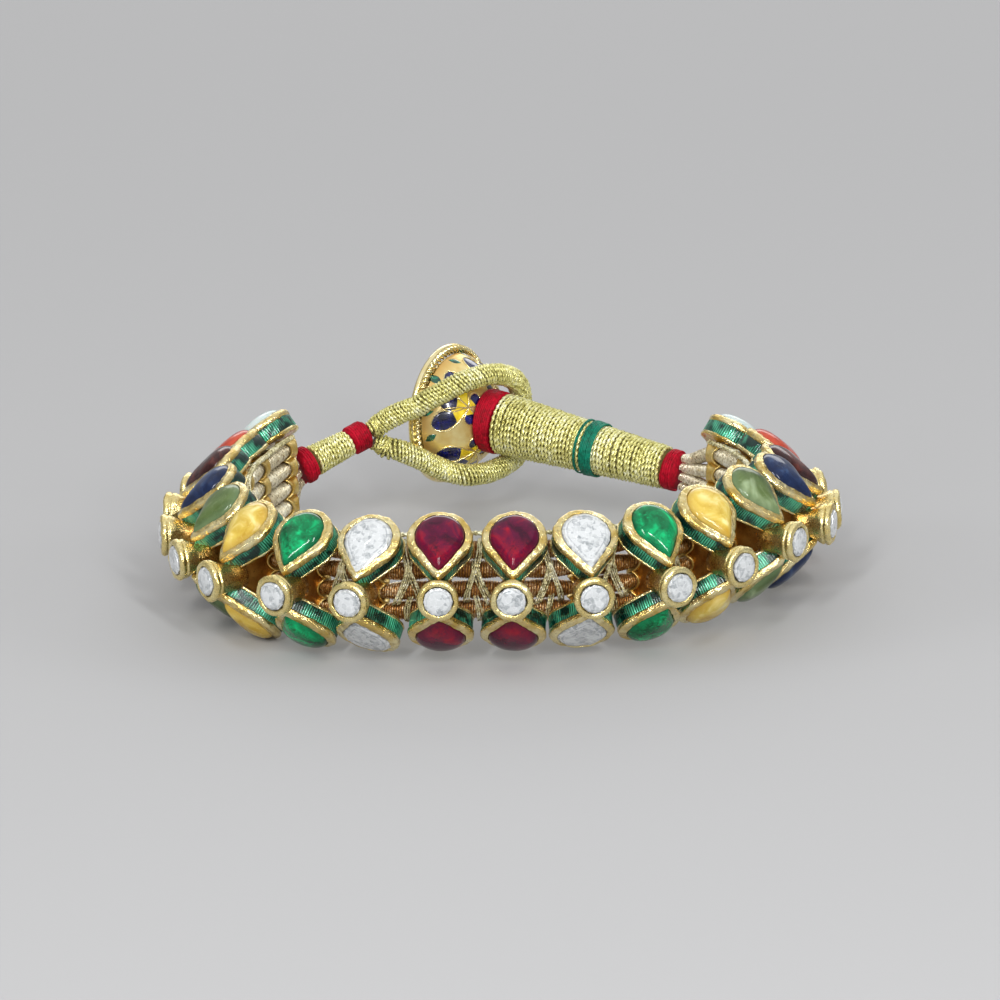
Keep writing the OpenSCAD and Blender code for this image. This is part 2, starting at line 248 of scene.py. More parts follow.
def start_material(name):
    made = bpy.data.materials.new(name)
    made.use_nodes = True
    return made, made.node_tree


def shade(made, tone, looks, height, strength, distance):
    """Gives a material its tone, its looks and a bump of so many millimetres."""
    tree = made.node_tree
    normal = add(tree, "ShaderNodeBump", {"Strength": strength, "Distance": distance * MM,
                                          "Height": height}).outputs[0]
    feed(tree, tree.nodes["Principled BSDF"], {"Base Color": tone, "Normal": normal, **looks})
    return made


def gold_finish(name, dark, light, rough, dents, strength, pits, base=None):
    """Hand-worked gold. The base, if given, is the warmer tone of a collet near the cords."""
    made, tree = start_material(name)
    marks = use(tree, worked, Vector=object_mm(tree), Dents=dents, Pits=pits)
    tone = blend(tree, between(tree, marks["Drift"], 0.35, 0.65), dark, light)
    if base:
        near = maths(tree, "ADD", own_length(tree), marks["Drift"])
        tone = blend(tree, between(tree, near, -6.4, -4.6, 0.0, 0.85), tone, base)
    tone = tint(tree, tone, marks["Pit"], 0.8, (0.06, 0.035, 0.01))
    looks = {"Metallic": 0.97, "Roughness": between(tree, marks["Fine"], 0.3, 0.7, *rough)}
    return shade(made, tone, looks, marks["Height"], strength, distance=0.12)


# Each gold: dark and light tone, polish, size of dents, their strength, pits
gold = gold_finish("rim gold", (0.70, 0.50, 0.14), (0.98, 0.87, 0.50), (0.06, 0.28), 1.6, 1.4,
                   0.6)
bright_gold = gold_finish("lip gold", (0.90, 0.72, 0.30), (1.0, 0.90, 0.56), (0.12, 0.28), 1.2,
                          0.25, 0.72)
satin_gold = gold_finish("collet gold", (0.78, 0.60, 0.21), (0.94, 0.82, 0.42), (0.16, 0.38), 1.4,
                         0.9, 0.6, (0.58, 0.27, 0.04))
deep_gold = gold_finish("solder gold", (0.70, 0.46, 0.11), (0.92, 0.74, 0.32), (0.25, 0.45), 1.9,
                        0.6, 0.66)
# Painted shade: the plate between the collars and the pears is a dark brown gold that stands for
# the shade it sits in.
shadowed_web_gold = gold_finish("shadowed solder", (0.34, 0.14, 0.03), (0.60, 0.32, 0.08), (0.32, 0.5),
                         1.9, 0.6, 0.62)


def enamel_wall():
    """Translucent green over engraved metal: dark in the flutes, gilt on the highest ribs, and
    patches of painted light that turn the ribs mint.
    """
    made, tree = start_material("green enamel")
    marks = use(tree, streaks, Vector=attribute(tree, "local", "Vector"), Scale=3.4)
    # Painted light: broad noise patches stand for walls that catch the light; there the flutes are
    # painted a lighter green and the ribs mint.
    broad = noise_at(tree, object_mm(tree), 0.4)
    painted_light = between(tree, maths(tree, "ADD", broad, marks["Cloud"]), 0.88, 1.14)
    groove = blend(tree, painted_light, (0.0, 0.003, 0.004), (0.0, 0.055, 0.032))
    rib = blend(tree, painted_light, (0.0, 0.05, 0.032), (0.12, 0.72, 0.42))
    flute = maths(tree, "MULTIPLY", attribute(tree, "flute"), 0.75)
    height = maths(tree, "MULTIPLY_ADD", marks["Scratch"], 0.5, flute)
    tone = blend(tree, between(tree, height, 0.42, 0.98), groove, rib)
    tone = tint(tree, tone, between(tree, height, 1.0, 1.12), 0.7, (0.62, 0.66, 0.30))
    looks = {"Metallic": 0.35, "Roughness": 0.25, "Specular IOR Level": 0.3, "Coat Weight": 0.7,
             "Coat Roughness": 0.05}
    return shade(made, tone, looks, marks["Scratch"], strength=0.25, distance=0.05)


green_enamel = enamel_wall()


def stone_finish(name, deep, body, glow, edge, rough, scale, flaws, clear, painted_point_glow):
    """A polished stone: body colour that clouds, with a painted glow of light near its point and
    painted shade that darkens it at its edge.
    """
    made, tree = start_material(name)
    marks = use(tree, depths, Vector=object_mm(tree), Scale=scale)
    cloud, flaw = marks["Cloud"], marks["Flaw"]
    tone = blend(tree, between(tree, cloud, 0.36, 0.54), deep, body)
    tone = blend(tree, between(tree, cloud, 0.56, 0.72), tone, glow)
    tone = tint(tree, tone, between(tree, flaw, 0.56, 0.72), flaws, glow)
    # Painted light: the glow tone is laid over the stone towards its point, as light shining
    # through it.
    if painted_point_glow:
        near = maths(tree, "MULTIPLY", between(tree, own_length(tree), -0.6, -2.6),
                     between(tree, flaw, 0.35, 0.6))
        tone = tint(tree, tone, near, painted_point_glow, glow)
    # Painted shade: the edge tone darkens the stone towards its outline.
    tone = tint(tree, tone, between(tree, attribute(tree, "edge"), 0.74, 1.0), 0.7, edge)
    looks = {"Roughness": rough + 0.2, "Specular IOR Level": 0.08, "Coat Weight": 0.55,
             "Coat Roughness": rough, "Subsurface Weight": clear,
             "Subsurface Radius": (1.0, 0.6, 0.5), "Subsurface Scale": 0.0012}
    return shade(made, tone, looks, cloud, strength=0.12, distance=0.2)


# Each stone: deep, body, glow and edge tone (painted shade at its outline), polish, size of
# clouds, flaws, clearness, painted glow of light at its point
STONE_LOOKS = {
    "ruby": ((0.032, 0.0, 0.012), (0.085, 0.0, 0.024), (0.27, 0.0, 0.014), (0.05, 0.0, 0.014),
             0.03, 0.42, 0.35, 0.0, 0.9),
    "emerald": ((0.0, 0.045, 0.014), (0.0, 0.17, 0.055), (0.0, 0.60, 0.20), (0.0, 0.05, 0.02),
                0.03, 0.42, 0.45, 0.0, 0.5),
    "topaz": ((0.46, 0.28, 0.02), (0.60, 0.44, 0.085), (0.76, 0.66, 0.28), (0.42, 0.27, 0.05),
              0.05, 0.4, 0.5, 0.2, 0.0),
    "cats_eye": ((0.04, 0.07, 0.014), (0.09, 0.135, 0.042), (0.28, 0.36, 0.20),
                 (0.12, 0.18, 0.09), 0.09, 0.3, 0.3, 0.2, 0.0),
    "sapphire": ((0.002, 0.006, 0.028), (0.008, 0.022, 0.075), (0.04, 0.085, 0.19),
                 (0.006, 0.012, 0.04), 0.09, 0.5, 0.4, 0.0, 0.0),
    "hessonite": ((0.014, 0.003, 0.004), (0.035, 0.008, 0.008), (0.12, 0.025, 0.018),
                  (0.02, 0.004, 0.004), 0.06, 0.45, 0.4, 0.0, 0.0),
    "coral": ((0.36, 0.035, 0.016), (0.46, 0.06, 0.026), (0.60, 0.13, 0.065), (0.40, 0.06, 0.03),
              0.07, 0.6, 0.3, 0.1, 0.0),
    "moonstone": ((0.44, 0.54, 0.52), (0.60, 0.69, 0.67), (0.78, 0.84, 0.84), (0.38, 0.46, 0.45),
                  0.05, 0.4, 0.4, 0.3, 0.0),
}
STONES = {gem: stone_finish(gem.replace("_", " "), *looks) for gem, looks in STONE_LOOKS.items()}


def flat_diamond():
    """A flat-cut diamond over foil: white, with grey crazing, clear patches and dark specks."""
    made, tree = start_material("flat diamond")
    where = object_mm(tree)
    moved = blend(tree, 0.8, where, noise_at(tree, where, 1.3, 4.0, 0.6, out=1), "ADD")
    cells = add(tree, "ShaderNodeTexVoronoi", {"Vector": moved, "Scale": 1.9})
    pale = add(tree, "ShaderNodeSeparateColor", {0: cells.outputs["Color"]}).outputs[0]
    crack = add(tree, "ShaderNodeTexVoronoi", {"Vector": moved, "Scale": 1.9},
                feature="DISTANCE_TO_EDGE").outputs[0]
    patch = noise_at(tree, where, 1.1, 5.0, 0.7, 0.8)
    share = maths(tree, "MULTIPLY_ADD", pale, 0.4, maths(tree, "MULTIPLY", patch, 0.9))
    tone = blend(tree, between(tree, share, 0.36, 0.68), (0.26, 0.285, 0.295), (0.58, 0.60, 0.61))
    tone = tint(tree, tone, between(tree, crack, 0.0, 0.035, 1.0, 0.0), 0.6, (0.86, 0.88, 0.90))
    speck = noise_at(tree, where, 3.2, 3.0, 0.6)
    tone = tint(tree, tone, between(tree, speck, 0.68, 0.74), 0.6, (0.16, 0.17, 0.18))
    edge = attribute(tree, "edge")
    facet = maths(tree, "MULTIPLY", between(tree, edge, 0.76, 0.79),
                  between(tree, edge, 0.81, 0.84, 1.0, 0.0))
    facet = maths(tree, "MULTIPLY", facet, between(tree, patch, 0.60, 0.50))
    tone = tint(tree, tone, facet, 0.6, (0.24, 0.26, 0.28))
    # Painted shade: a near-black broken line at the outline, where the stone meets the rim.
    painted_seam_shade = maths(tree, "MULTIPLY", between(tree, edge, 0.9, 1.0),
                   between(tree, patch, 0.46, 0.56))
    tone = tint(tree, tone, painted_seam_shade, 0.8, (0.07, 0.07, 0.07))
    looks = {"Metallic": 0.15, "Roughness": 0.15, "Coat Weight": 1.0, "Coat Roughness": 0.02}
    height = maths(tree, "ADD", crack, maths(tree, "MULTIPLY", patch, 0.8))
    return shade(made, tone, looks, height, strength=0.4, distance=0.1)


STONES["diamond"] = flat_diamond()


def thread_finish(name, dark, mid, light, metal, rough, scale=2.4, shine=0.5, lit_inner_side=None):
    """Twisted thread: tone that changes at random along each strand, with fine filaments; its light
    tone is painted glint and its dark tone painted shade. The lit inner tones, if given, are
    painted light on the side that lies towards the wrist, and the other tones then stand for the
    outer side in shade."""
    made, tree = start_material(name)
    where = object_mm(tree)
    quick = noise_at(tree, where, scale, 3.0, 0.6)
    share = maths(tree, "MULTIPLY_ADD", quick, 0.7,
                  maths(tree, "MULTIPLY", noise_at(tree, where, 0.35), 0.4))
    # Painted light: noise lays the light tone as painted glints and the dark tone as painted shade
    # in the gaps.
    low, high = between(tree, share, 0.38, 0.56), between(tree, share, 0.56, 0.72)
    tone = blend(tree, high, blend(tree, low, dark, mid), light)
    # Painted light: the side towards the wrist is painted in the paler lit tones.
    if lit_inner_side:
        pale = blend(tree, high, blend(tree, low, lit_inner_side[0], lit_inner_side[1]), lit_inner_side[2])
        tone = blend(tree, between(tree, attribute(tree, "lit_inner_side"), 0.42, 0.62), tone, pale)
    looks = {"Metallic": metal, "Specular IOR Level": shine,
             "Roughness": between(tree, quick, 0.3, 0.7, rough - 0.08, rough + 0.12)}
    filaments = noise_at(tree, where, 16.0, 2.0, 0.6)
    return shade(made, tone, looks, filaments, strength=0.3, distance=0.04)


# Each thread: dark, middle and light tone (painted shade, middle, painted glint), metal, polish,
# # size of marks, shine, and the painted lit tones of the side towards the wrist
zari = thread_finish("pale gold thread", (0.38, 0.34, 0.085), (0.84, 0.80, 0.31),
                     (1.0, 1.0, 0.70), 0.55, 0.3)
# Painted shade: the core under the windings is a near-black gold that stands for the shade in the
# gaps between turns.
zari_core = thread_finish("shaded gold thread", (0.05, 0.04, 0.006), (0.11, 0.09, 0.015),
                          (0.22, 0.18, 0.04), 0.2, 0.6)
crimson = thread_finish("crimson silk", (0.15, 0.0, 0.005), (0.33, 0.0, 0.012),
                        (0.50, 0.002, 0.022), 0.0, 0.6, 3.0, 0.2)
green_silk = thread_finish("green silk", (0.0, 0.05, 0.025), (0.0, 0.12, 0.07), (0.0, 0.20, 0.12),
                           0.0, 0.5, 3.0, 0.3)
# Painted light and shade: the cords' outer side is painted darker brown as in shade, and the side
# towards the wrist paler as lit.
rose_wire = thread_finish("rose gold winding", (0.16, 0.06, 0.008), (0.40, 0.19, 0.042),
                          (1.0, 0.84, 0.54), 0.6, 0.3, 3.4, 0.5,
                          ((0.39, 0.31, 0.18), (0.73, 0.66, 0.47), (1.0, 0.98, 0.84)))
rose_core = thread_finish("cord core", (0.06, 0.02, 0.006), (0.17, 0.06, 0.014),
                          (0.26, 0.12, 0.045), 0.1, 0.6, 2.4, 0.4,
                          ((0.14, 0.09, 0.045), (0.26, 0.19, 0.11), (0.42, 0.35, 0.24)))
silver_gilt = thread_finish("silver gilt lashing", (0.21, 0.17, 0.05), (0.74, 0.68, 0.40),
                            (1.0, 1.0, 0.86), 0.6, 0.28)


def button_gold():
    """Satin gold that turns coppery near the dome's seam."""
    made, tree = start_material("button gold")
    marks = use(tree, worked, Vector=object_mm(tree), Dents=0.9, Pits=0.72)
    tone = blend(tree, between(tree, marks["Drift"], 0.35, 0.65), (0.84, 0.60, 0.20),
                 (0.96, 0.80, 0.38))
    seam = maths(tree, "MULTIPLY_ADD", marks["Drift"], 0.3, attribute(tree, "seam"))
    tone = blend(tree, between(tree, seam, 0.86, 1.12, 0.0, 0.6), tone, (0.62, 0.30, 0.04))
    looks = {"Metallic": 0.8, "Roughness": 0.32}
    return shade(made, tone, looks, marks["Height"], strength=0.2, distance=0.1)


def enamel_finish(name, deep, body, light):
    made, tree = start_material(name)
    marks = use(tree, depths, Vector=object_mm(tree), Scale=0.9)
    tone = blend(tree, between(tree, marks["Cloud"], 0.35, 0.55), deep, body)
    tone = blend(tree, between(tree, marks["Cloud"], 0.58, 0.72), tone, light)
    looks = {"Roughness": 0.25, "Coat Weight": 1.0, "Coat Roughness": 0.05}
    return shade(made, tone, looks, marks["Flaw"], strength=0.15, distance=0.05)


dome_gold = button_gold()
blue_enamel = enamel_finish("cobalt enamel", (0.001, 0.002, 0.014), (0.002, 0.005, 0.075),
                            (0.008, 0.018, 0.26))
yellow_enamel = enamel_finish("yellow enamel", (0.56, 0.38, 0.01), (0.82, 0.62, 0.02),
                              (0.92, 0.80, 0.12))
leaf_enamel = enamel_finish("leaf enamel", (0.0, 0.02, 0.01), (0.0, 0.09, 0.045),
                            (0.01, 0.42, 0.25))


# Mesh helpers
def finish_piece(name, bm, materials, replaces=(), smooth=True):
    """Turns millimetres into metres and hands the piece to the frame."""
    bmesh.ops.scale(bm, vec=(MM, MM, MM), verts=bm.verts)
    mesh = bpy.data.meshes.new(name)
    bm.to_mesh(mesh)
    bm.free()
    for material in materials:
        mesh.materials.append(material)
    mesh.polygons.foreach_set("use_smooth", [smooth] * len(mesh.polygons))
    mesh.update()
    piece = bpy.data.objects.new(name, mesh)
    bpy.context.collection.objects.link(piece)
    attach(piece, "root")
    if replaces:
        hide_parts(*replaces)
    return piece


def polar(radius, angle, height):
    return Vector((radius * math.cos(angle), radius * math.sin(angle), height))


def distances(points):
    """How far along a run each of its points lies."""
    legs = np.linalg.norm(np.diff(np.asarray(points, float), axis=0), axis=1)
    return np.r_[0, np.cumsum(legs)]


def reach_over(start, way_out, way_in, end, t):
    """A share of the way along a smooth bow, which leaves and arrives in its two directions."""
    return ((1 - t) ** 3 * start + 3 * t * (1 - t) ** 2 * (start + way_out)
            + 3 * t * t * (1 - t) * (end - way_in) + t ** 3 * end)


def through(points, steps):
    """Points of a smooth curve through a list of points."""
    points = [np.array(p, float) for p in points]
    made = []
    for i in range(len(points) - 1):
        before = points[i - 1] if i else 2 * points[0] - points[1]
        after = points[i + 2] if i + 2 < len(points) else 2 * points[i + 1] - points[i]
        way_out, way_in = (points[i + 1] - before) / 6, (after - points[i]) / 6
        for k in range(steps):
            made.append(reach_over(points[i], way_out, way_in, points[i + 1], k / steps))
    made.append(points[-1])
    return np.array(made)


def loop_edges(bm, ring):
    return [bm.edges.get((ring[k - 1], ring[k])) for k in range(len(ring))]


def start_ring(bm, places):
    ring = bmesh.ops.create_circle(bm, segments=len(places), radius=1.0)["verts"]
    for vert, place in zip(ring, places):
        vert.co = place
    return ring


def grow_ring(bm, ring, places):
    """Extrudes a ring and sets the new one on its places."""
    order = {vert: k for k, vert in enumerate(ring)}
    made = bmesh.ops.extrude_edge_only(bm, edges=loop_edges(bm, ring))["geom"]
    new = [None] * len(ring)
    for vert in made:
        if isinstance(vert, bmesh.types.BMVert):
            for edge in vert.link_edges:
                k = order.get(edge.other_vert(vert))
                if k is not None:
                    new[k] = vert
    for vert, place in zip(new, places):
        vert.co = place
    return new


def loft(bm, rows, closed=False, material=0, marks=None):
    """Skins rings of places. Closed joins the last to the first, and else both ends are
    filled. Marks are a layer and its value at each place of a ring."""
    before = set(bm.faces)
    ring = start = start_ring(bm, rows[0])
    rings = [ring]
    for row in rows[1:]:
        ring = grow_ring(bm, ring, row)
        rings.append(ring)
    if marks:
        layer, values = marks
        for ring in rings:
            for vert, value in zip(ring, values):
                vert[layer] = value
    if closed:
        bmesh.ops.bridge_loops(bm, edges=loop_edges(bm, start) + loop_edges(bm, ring))
    else:
        bmesh.ops.contextual_create(bm, geom=loop_edges(bm, start))
        bmesh.ops.contextual_create(bm, geom=loop_edges(bm, ring))
    made = [face for face in bm.faces if face not in before]
    bmesh.ops.recalc_face_normals(bm, faces=made)
    for face in made:
        face.material_index = material


def lathe(bm, profile, steps, closed=False):
    """Spins a profile of (radius, height) points round Z."""
    faces, old = set(bm.faces), set(bm.verts)
    verts = [bm.verts.new((r, 0, z)) for r, z in profile]
    pairs = list(zip(verts, verts[1:])) + ([(verts[-1], verts[0])] if closed else [])
    edges = [bm.edges.new(pair) for pair in pairs]
    bmesh.ops.spin(bm, geom=verts + edges, cent=(0, 0, 0), axis=(0, 0, 1), angle=math.tau,
                   steps=steps, use_merge=True)
    new = [vert for vert in bm.verts if vert not in old]
    bmesh.ops.remove_doubles(bm, verts=new, dist=1e-5)
    made = [face for face in bm.faces if face not in faces]
    bmesh.ops.recalc_face_normals(bm, faces=made)


def keep_local(bm):
    """Makes a master that remembers each vertex's own place, for finishes that follow it."""
    local = bm.verts.layers.float_vector.new("local")
    for vert in bm.verts:
        vert[local] = vert.co
    mesh = bpy.data.meshes.new("master")
    bm.to_mesh(mesh)
    bm.free()
    return mesh


# Pear shapes
LINE_SHARE, FULL = 0.176, 0.1
FLUTES = 84
# The materials of a setting, in their order
RIM, ENAMEL, BACK, COLLET, COLLAR, WEB = range(6)


def pear_point(inset, share, size):
    """A point of the pear outline, a share of the way round from its point. The opening is a
    little longer than the outline, so that the rim is narrow over the top."""
    a, b = (BEZEL_A - inset) * size, (BEZEL_B - 0.7 * inset) * size
    reach = math.hypot(b, a / (SPREAD * (1 - 0.15 * inset)))
    first = -math.asin(b / reach)
    side = 1 if share <= 0.5 else -1
    along = min(share, 1 - share)
    if along < LINE_SHARE:
        k = along / LINE_SHARE
        full = FULL * size * 6.75 * k * (1 - k) ** 2
        x = a * math.cos(first) * k + full * math.cos(math.radians(POINT_ANGLE))
        y = -reach + (b * math.sin(first) + reach) * k - full * math.sin(math.radians(POINT_ANGLE))
    else:
        t = first + (math.pi / 2 - first) * (along - LINE_SHARE) / (0.5 - LINE_SHARE)
        x, y = a * math.cos(t), b * math.sin(t)
    return Vector((side * x, y, 0))


def pear_row(inset, height, count, size=1.0, wave=0.0, step=0.0):
    """A ring round the pear, which a wave takes in and out at each flute."""
    row = []
    for k in range(count):
        share = (k + step) / count % 1
        place = pear_point(inset + wave * math.cos(math.tau * FLUTES * share), share, size)
        place.z = height
        row.append(place)
    return row


def make_bezel():
    """The rim, the fluted enamel wall and the back of one pear, face up round its middle."""
    bm = bmesh.new()
    layer = bm.verts.layers.float.new("flute")
    rim = ((RIM_W, -1.1), (RIM_W, 0.0), (RIM_W - 0.03, 0.1), (RIM_W - 0.09, 0.13),
           (RIM_W - 0.16, 0.09), (0.54, 0.06), (0.4, 0.04), (0.26, 0.01), (0.14, -0.05),
           (0.05, -0.14), (0.0, -0.3), (0.01, -0.48), (0.04, -0.6), (0.12, -0.68), (0.4, -0.69))
    loft(bm, [pear_row(i, z, 84) for i, z in rim], closed=True, material=RIM)
    wall = ((0.6, -0.6, 0.0), (0.16, -0.62, 0.0), (0.12, -0.72, 0.045), (0.12, -1.9, 0.045),
            (0.17, -2.06, 0.0), (0.6, -2.06, 0.0))
    count = 3 * FLUTES
    height = [0.5 - 0.5 * math.cos(math.tau * FLUTES * k / count) for k in range(count)]
    loft(bm, [pear_row(i, z, count, wave=wave) for i, z, wave in wall], material=ENAMEL,
         marks=(layer, height))
    back = ((0.5, -1.99), (0.12, -1.97), (0.05, -2.02), (0.04, -2.14), (0.12, -2.25),
            (0.3, -2.3), (0.8, -2.3))
    loft(bm, [pear_row(i, z, 72) for i, z in back], material=BACK)
    return keep_local(bm)


def make_collet():
    """The round collet that stands out between the two pears, along +Z from the cords."""
    bm = bmesh.new()
    lathe(bm, ((0, 3.9), (1.42, 3.9), (1.44, 4.7), (1.4, 5.3), (1.44, 5.8), (1.56, 6.2),
               (1.74, 6.55), (1.88, 6.85), (1.97, 7.08), (1.98, 7.18), (1.89, 7.28),
               (1.9, 7.36), (2.02, 7.46), (2.06, 7.62), (2.03, 7.8), (1.95, 7.92), (1.84, 7.98),
               (1.7, 8.02), (1.58, 8.0), (1.51, 7.94), (1.47, 7.82), (1.46, 7.4), (0, 7.4)), 44)
    bmesh.ops.rotate(bm, verts=bm.verts, cent=(0, 0, 0),
                     matrix=Matrix.Rotation(math.radians(90), 3, "X"))
    return keep_local(bm)


def make_collar():
    """One cord collar, round the cord along X."""
    bm = bmesh.new()
    lathe(bm, ((0.8, -0.5), (0.92, -0.6), (1.05, -0.62), (1.13, -0.54), (1.1, -0.36),
               (1.0, -0.14), (1.0, 0.14), (1.1, 0.36), (1.13, 0.54), (1.05, 0.62), (0.92, 0.6),
               (0.8, 0.5)), 24, closed=True)
    bmesh.ops.rotate(bm, verts=bm.verts, cent=(0, 0, 0),
                     matrix=Matrix.Rotation(math.radians(90), 3, "Y"))
    # Narrow beside the cord and wide above and below it
    for vert in bm.verts:
        vert.co.x *= 0.8 + 0.85 * min(1.0, abs(vert.co.z)) ** 2
    return keep_local(bm)


def make_web():
    """The plate that joins the collars to the backs of the pears."""
    bm = bmesh.new()
    corners = ((-3.95, 0.9), (0, 3.9), (0, -3.9), (-3.95, -0.9))
    verts = [bm.verts.new((-0.35, y, z)) for y, z in corners]
    face = bm.faces.new(verts)
    made = bmesh.ops.extrude_face_region(bm, geom=[face])["geom"]
    bmesh.ops.translate(bm, vec=(0.7, 0, 0),
                        verts=[v for v in made if isinstance(v, bmesh.types.BMVert)])
    bmesh.ops.recalc_face_normals(bm, faces=bm.faces)
    bmesh.ops.bevel(bm, geom=bm.edges, affect="EDGES", offset=0.12, segments=2, profile=0.5,
                    material=-1)
    bmesh.ops.subdivide_edges(bm, edges=[e for e in bm.edges if e.calc_length() > 1.0], cuts=3,
                              use_grid_fill=True)
    return keep_local(bm)


CORD_ROWS = (1.5, 0.5, -0.5, -1.5)
CORD_STEP = 2.0


def stamp(bm, master, place, seed, rough, material=None, mirrored=False, hammer=0.0):
    """Adds a copy of a master, slightly uneven as handwork is, at its place. Hammering dents
    the metal in shallow facets and leaves the enamel as it is."""
    first, first_face = len(bm.verts), len(bm.faces)
    bm.from_mesh(master)
    bm.verts.ensure_lookup_table()
    bm.faces.ensure_lookup_table()
    made = bm.faces[first_face:]
    shift = Vector((seed * 7.31, seed * 3.17, seed * 5.53))
    if hammer:
        metal = {vert for face in made if face.material_index != ENAMEL for vert in face.verts}
        for vert in metal:
            depth = noise.voronoi(vert.co * 1.25 + shift)[0][0]
            vert.co += vert.normal * (depth - 0.45) * hammer
    for vert in bm.verts[first:]:
        slow = noise.noise_vector(vert.co * 0.45 + shift)
        quick = noise.noise_vector(vert.co * 1.7 + shift)
        vert.co += slow * rough + quick * rough * 0.45
        vert.co = place @ vert.co
    if material is not None:
        for face in made:
            face.material_index = material
    if mirrored:
        bmesh.ops.reverse_faces(bm, faces=made)


# The settings
bezel, collet, collar, web = make_bezel(), make_collet(), make_collar(), make_web()

for i in range(COUNT):
    unit = on_ring(i)
    bm = bmesh.new()
    for side in (1, -1):
        stamp(bm, bezel, unit @ on_slope(side), seed=i * 2 + side, rough=0.06,
              mirrored=side < 0, hammer=0.14)
    stamp(bm, collet, unit, seed=i + 40, rough=0.1, material=COLLET, hammer=0.14)
    for row in CORD_ROWS:
        stamp(bm, collar, unit @ Matrix.Translation((0, 0, row * CORD_STEP)), seed=i + row,
              rough=0.05, material=COLLAR, hammer=0.08)
    stamp(bm, web, unit, seed=i, rough=0.05, material=WEB)
    finish_piece("bow_tie_%02d" % (i + 1), bm,
                 [gold, green_enamel, gold, satin_gold, deep_gold, shadowed_web_gold],
                 ["setting_%02d" % (i + 1)])


# Stones
def mark_edge(bm, sizes, count):
    """Writes how near each vertex is to the stone's outline, ring by ring."""
    mark = bm.verts.layers.float.new("edge")
    for k, vert in enumerate(bm.verts):
        vert[mark] = sizes[k // count]


def make_cabochon():
    """A domed stone with a polished skin."""
    bm = bmesh.new()
    steps, count = (1.0, 0.985, 0.95, 0.9, 0.83, 0.74, 0.63, 0.5, 0.36, 0.22, 0.1, 0.03), 60
    rows = [pear_row(RIM_W, -0.5, count, 0.985)]
    rows += [pear_row(RIM_W, 0.95 * (1 - s ** 2.6) ** 0.55 + 0.02, count, s) for s in steps]
    loft(bm, rows)
    mark_edge(bm, (0.985,) + steps, count)
    return keep_local(bm)


def make_flat_cut():
    """A flat-cut stone: a table inside two uneven rows of facets."""
    bm = bmesh.new()
    shape = ((0.985, -0.5, 0), (1.0, 0.04, 0), (0.9, 0.22, 0.5), (0.72, 0.34, 0), (0.5, 0.38, 0.5),
             (0.24, 0.41, 0))
    count = 18
    rows = []
    for size, z, step in shape:
        row = pear_row(RIM_W, 0, count, size, step=step)
        for place in row:
            place.z = z + (0.06 * noise.noise(place * 1.3) if 0 < z else 0)
        rows.append(row)
    loft(bm, rows)
    mark_edge(bm, [s for s, z, step in shape], count)
    return keep_local(bm)


def make_round_cut():
    """The flat-cut round stone at the end of a collet."""
    bm = bmesh.new()
    shape = ((0.98, -0.45, 0), (1.0, 0.0, 0), (0.86, 0.16, 0.5), (0.64, 0.23, 0), (0.34, 0.25, 0.5))
    count, radius, front = 12, 1.45, -8.0
    rows = []
    for size, z, step in shape:
        row = [polar(radius * size, math.tau * (k + step) / count, front - z) for k in range(count)]
        rows.append([place.xzy for place in row])
    loft(bm, rows)
    mark_edge(bm, [s for s, z, step in shape], count)
    return keep_local(bm)


cabochon, flat_cut, round_cut = make_cabochon(), make_flat_cut(), make_round_cut()
gem_order = list(STONES)

lower = bmesh.new()
for i in range(COUNT):
    gem = SETTINGS[i][0]
    master = flat_cut if gem == "diamond" else cabochon
    rough = 0.08 if gem == "diamond" else 0.03
    bm = bmesh.new()
    stamp(bm, master, on_ring(i) @ on_slope(1), seed=i + 70, rough=rough)
    finish_piece("upper_gem_%02d" % (i + 1), bm, [STONES[gem]],
                 ["upper_stone_%02d" % (i + 1)], gem != "diamond")
    stamp(lower, master, on_ring(i) @ on_slope(-1), seed=i + 90, rough=rough,
          material=gem_order.index(gem), mirrored=True)
lower_gems = finish_piece("lower_gems", lower, [STONES[g] for g in gem_order],
                          ["lower_stones"])
for face in lower_gems.data.polygons:
    face.use_smooth = gem_order[face.material_index] != "diamond"

bm = bmesh.new()
for i in range(COUNT):
    stamp(bm, round_cut, on_ring(i), seed=i + 120, rough=0.07)
finish_piece("round_gems", bm, [STONES["diamond"]], ["round_diamonds"], False)


# Threads
THREAD, CORE = 0, 1


def thread_cut(radius, lobes, sides):
    """The cut across a thread: one strand, or two or three laid together."""
    curve = bpy.data.curves.new("cut", "CURVE")
    curve.dimensions = "2D"
    spline = curve.splines.new("POLY")
    spline.points.add(sides - 1)
    for k, point in enumerate(spline.points):
        a = math.tau * k / sides
        r = 1.0 if lobes == 1 else 0.72 + 0.28 * math.cos(lobes * a)
        point.co = (*polar(r, a, 0), 1)
    spline.use_cyclic_u = True
    curve.transform(Matrix.Scale(radius, 4))
    made = bpy.data.objects.new("cut", curve)
    bpy.context.collection.objects.link(made)
    return made


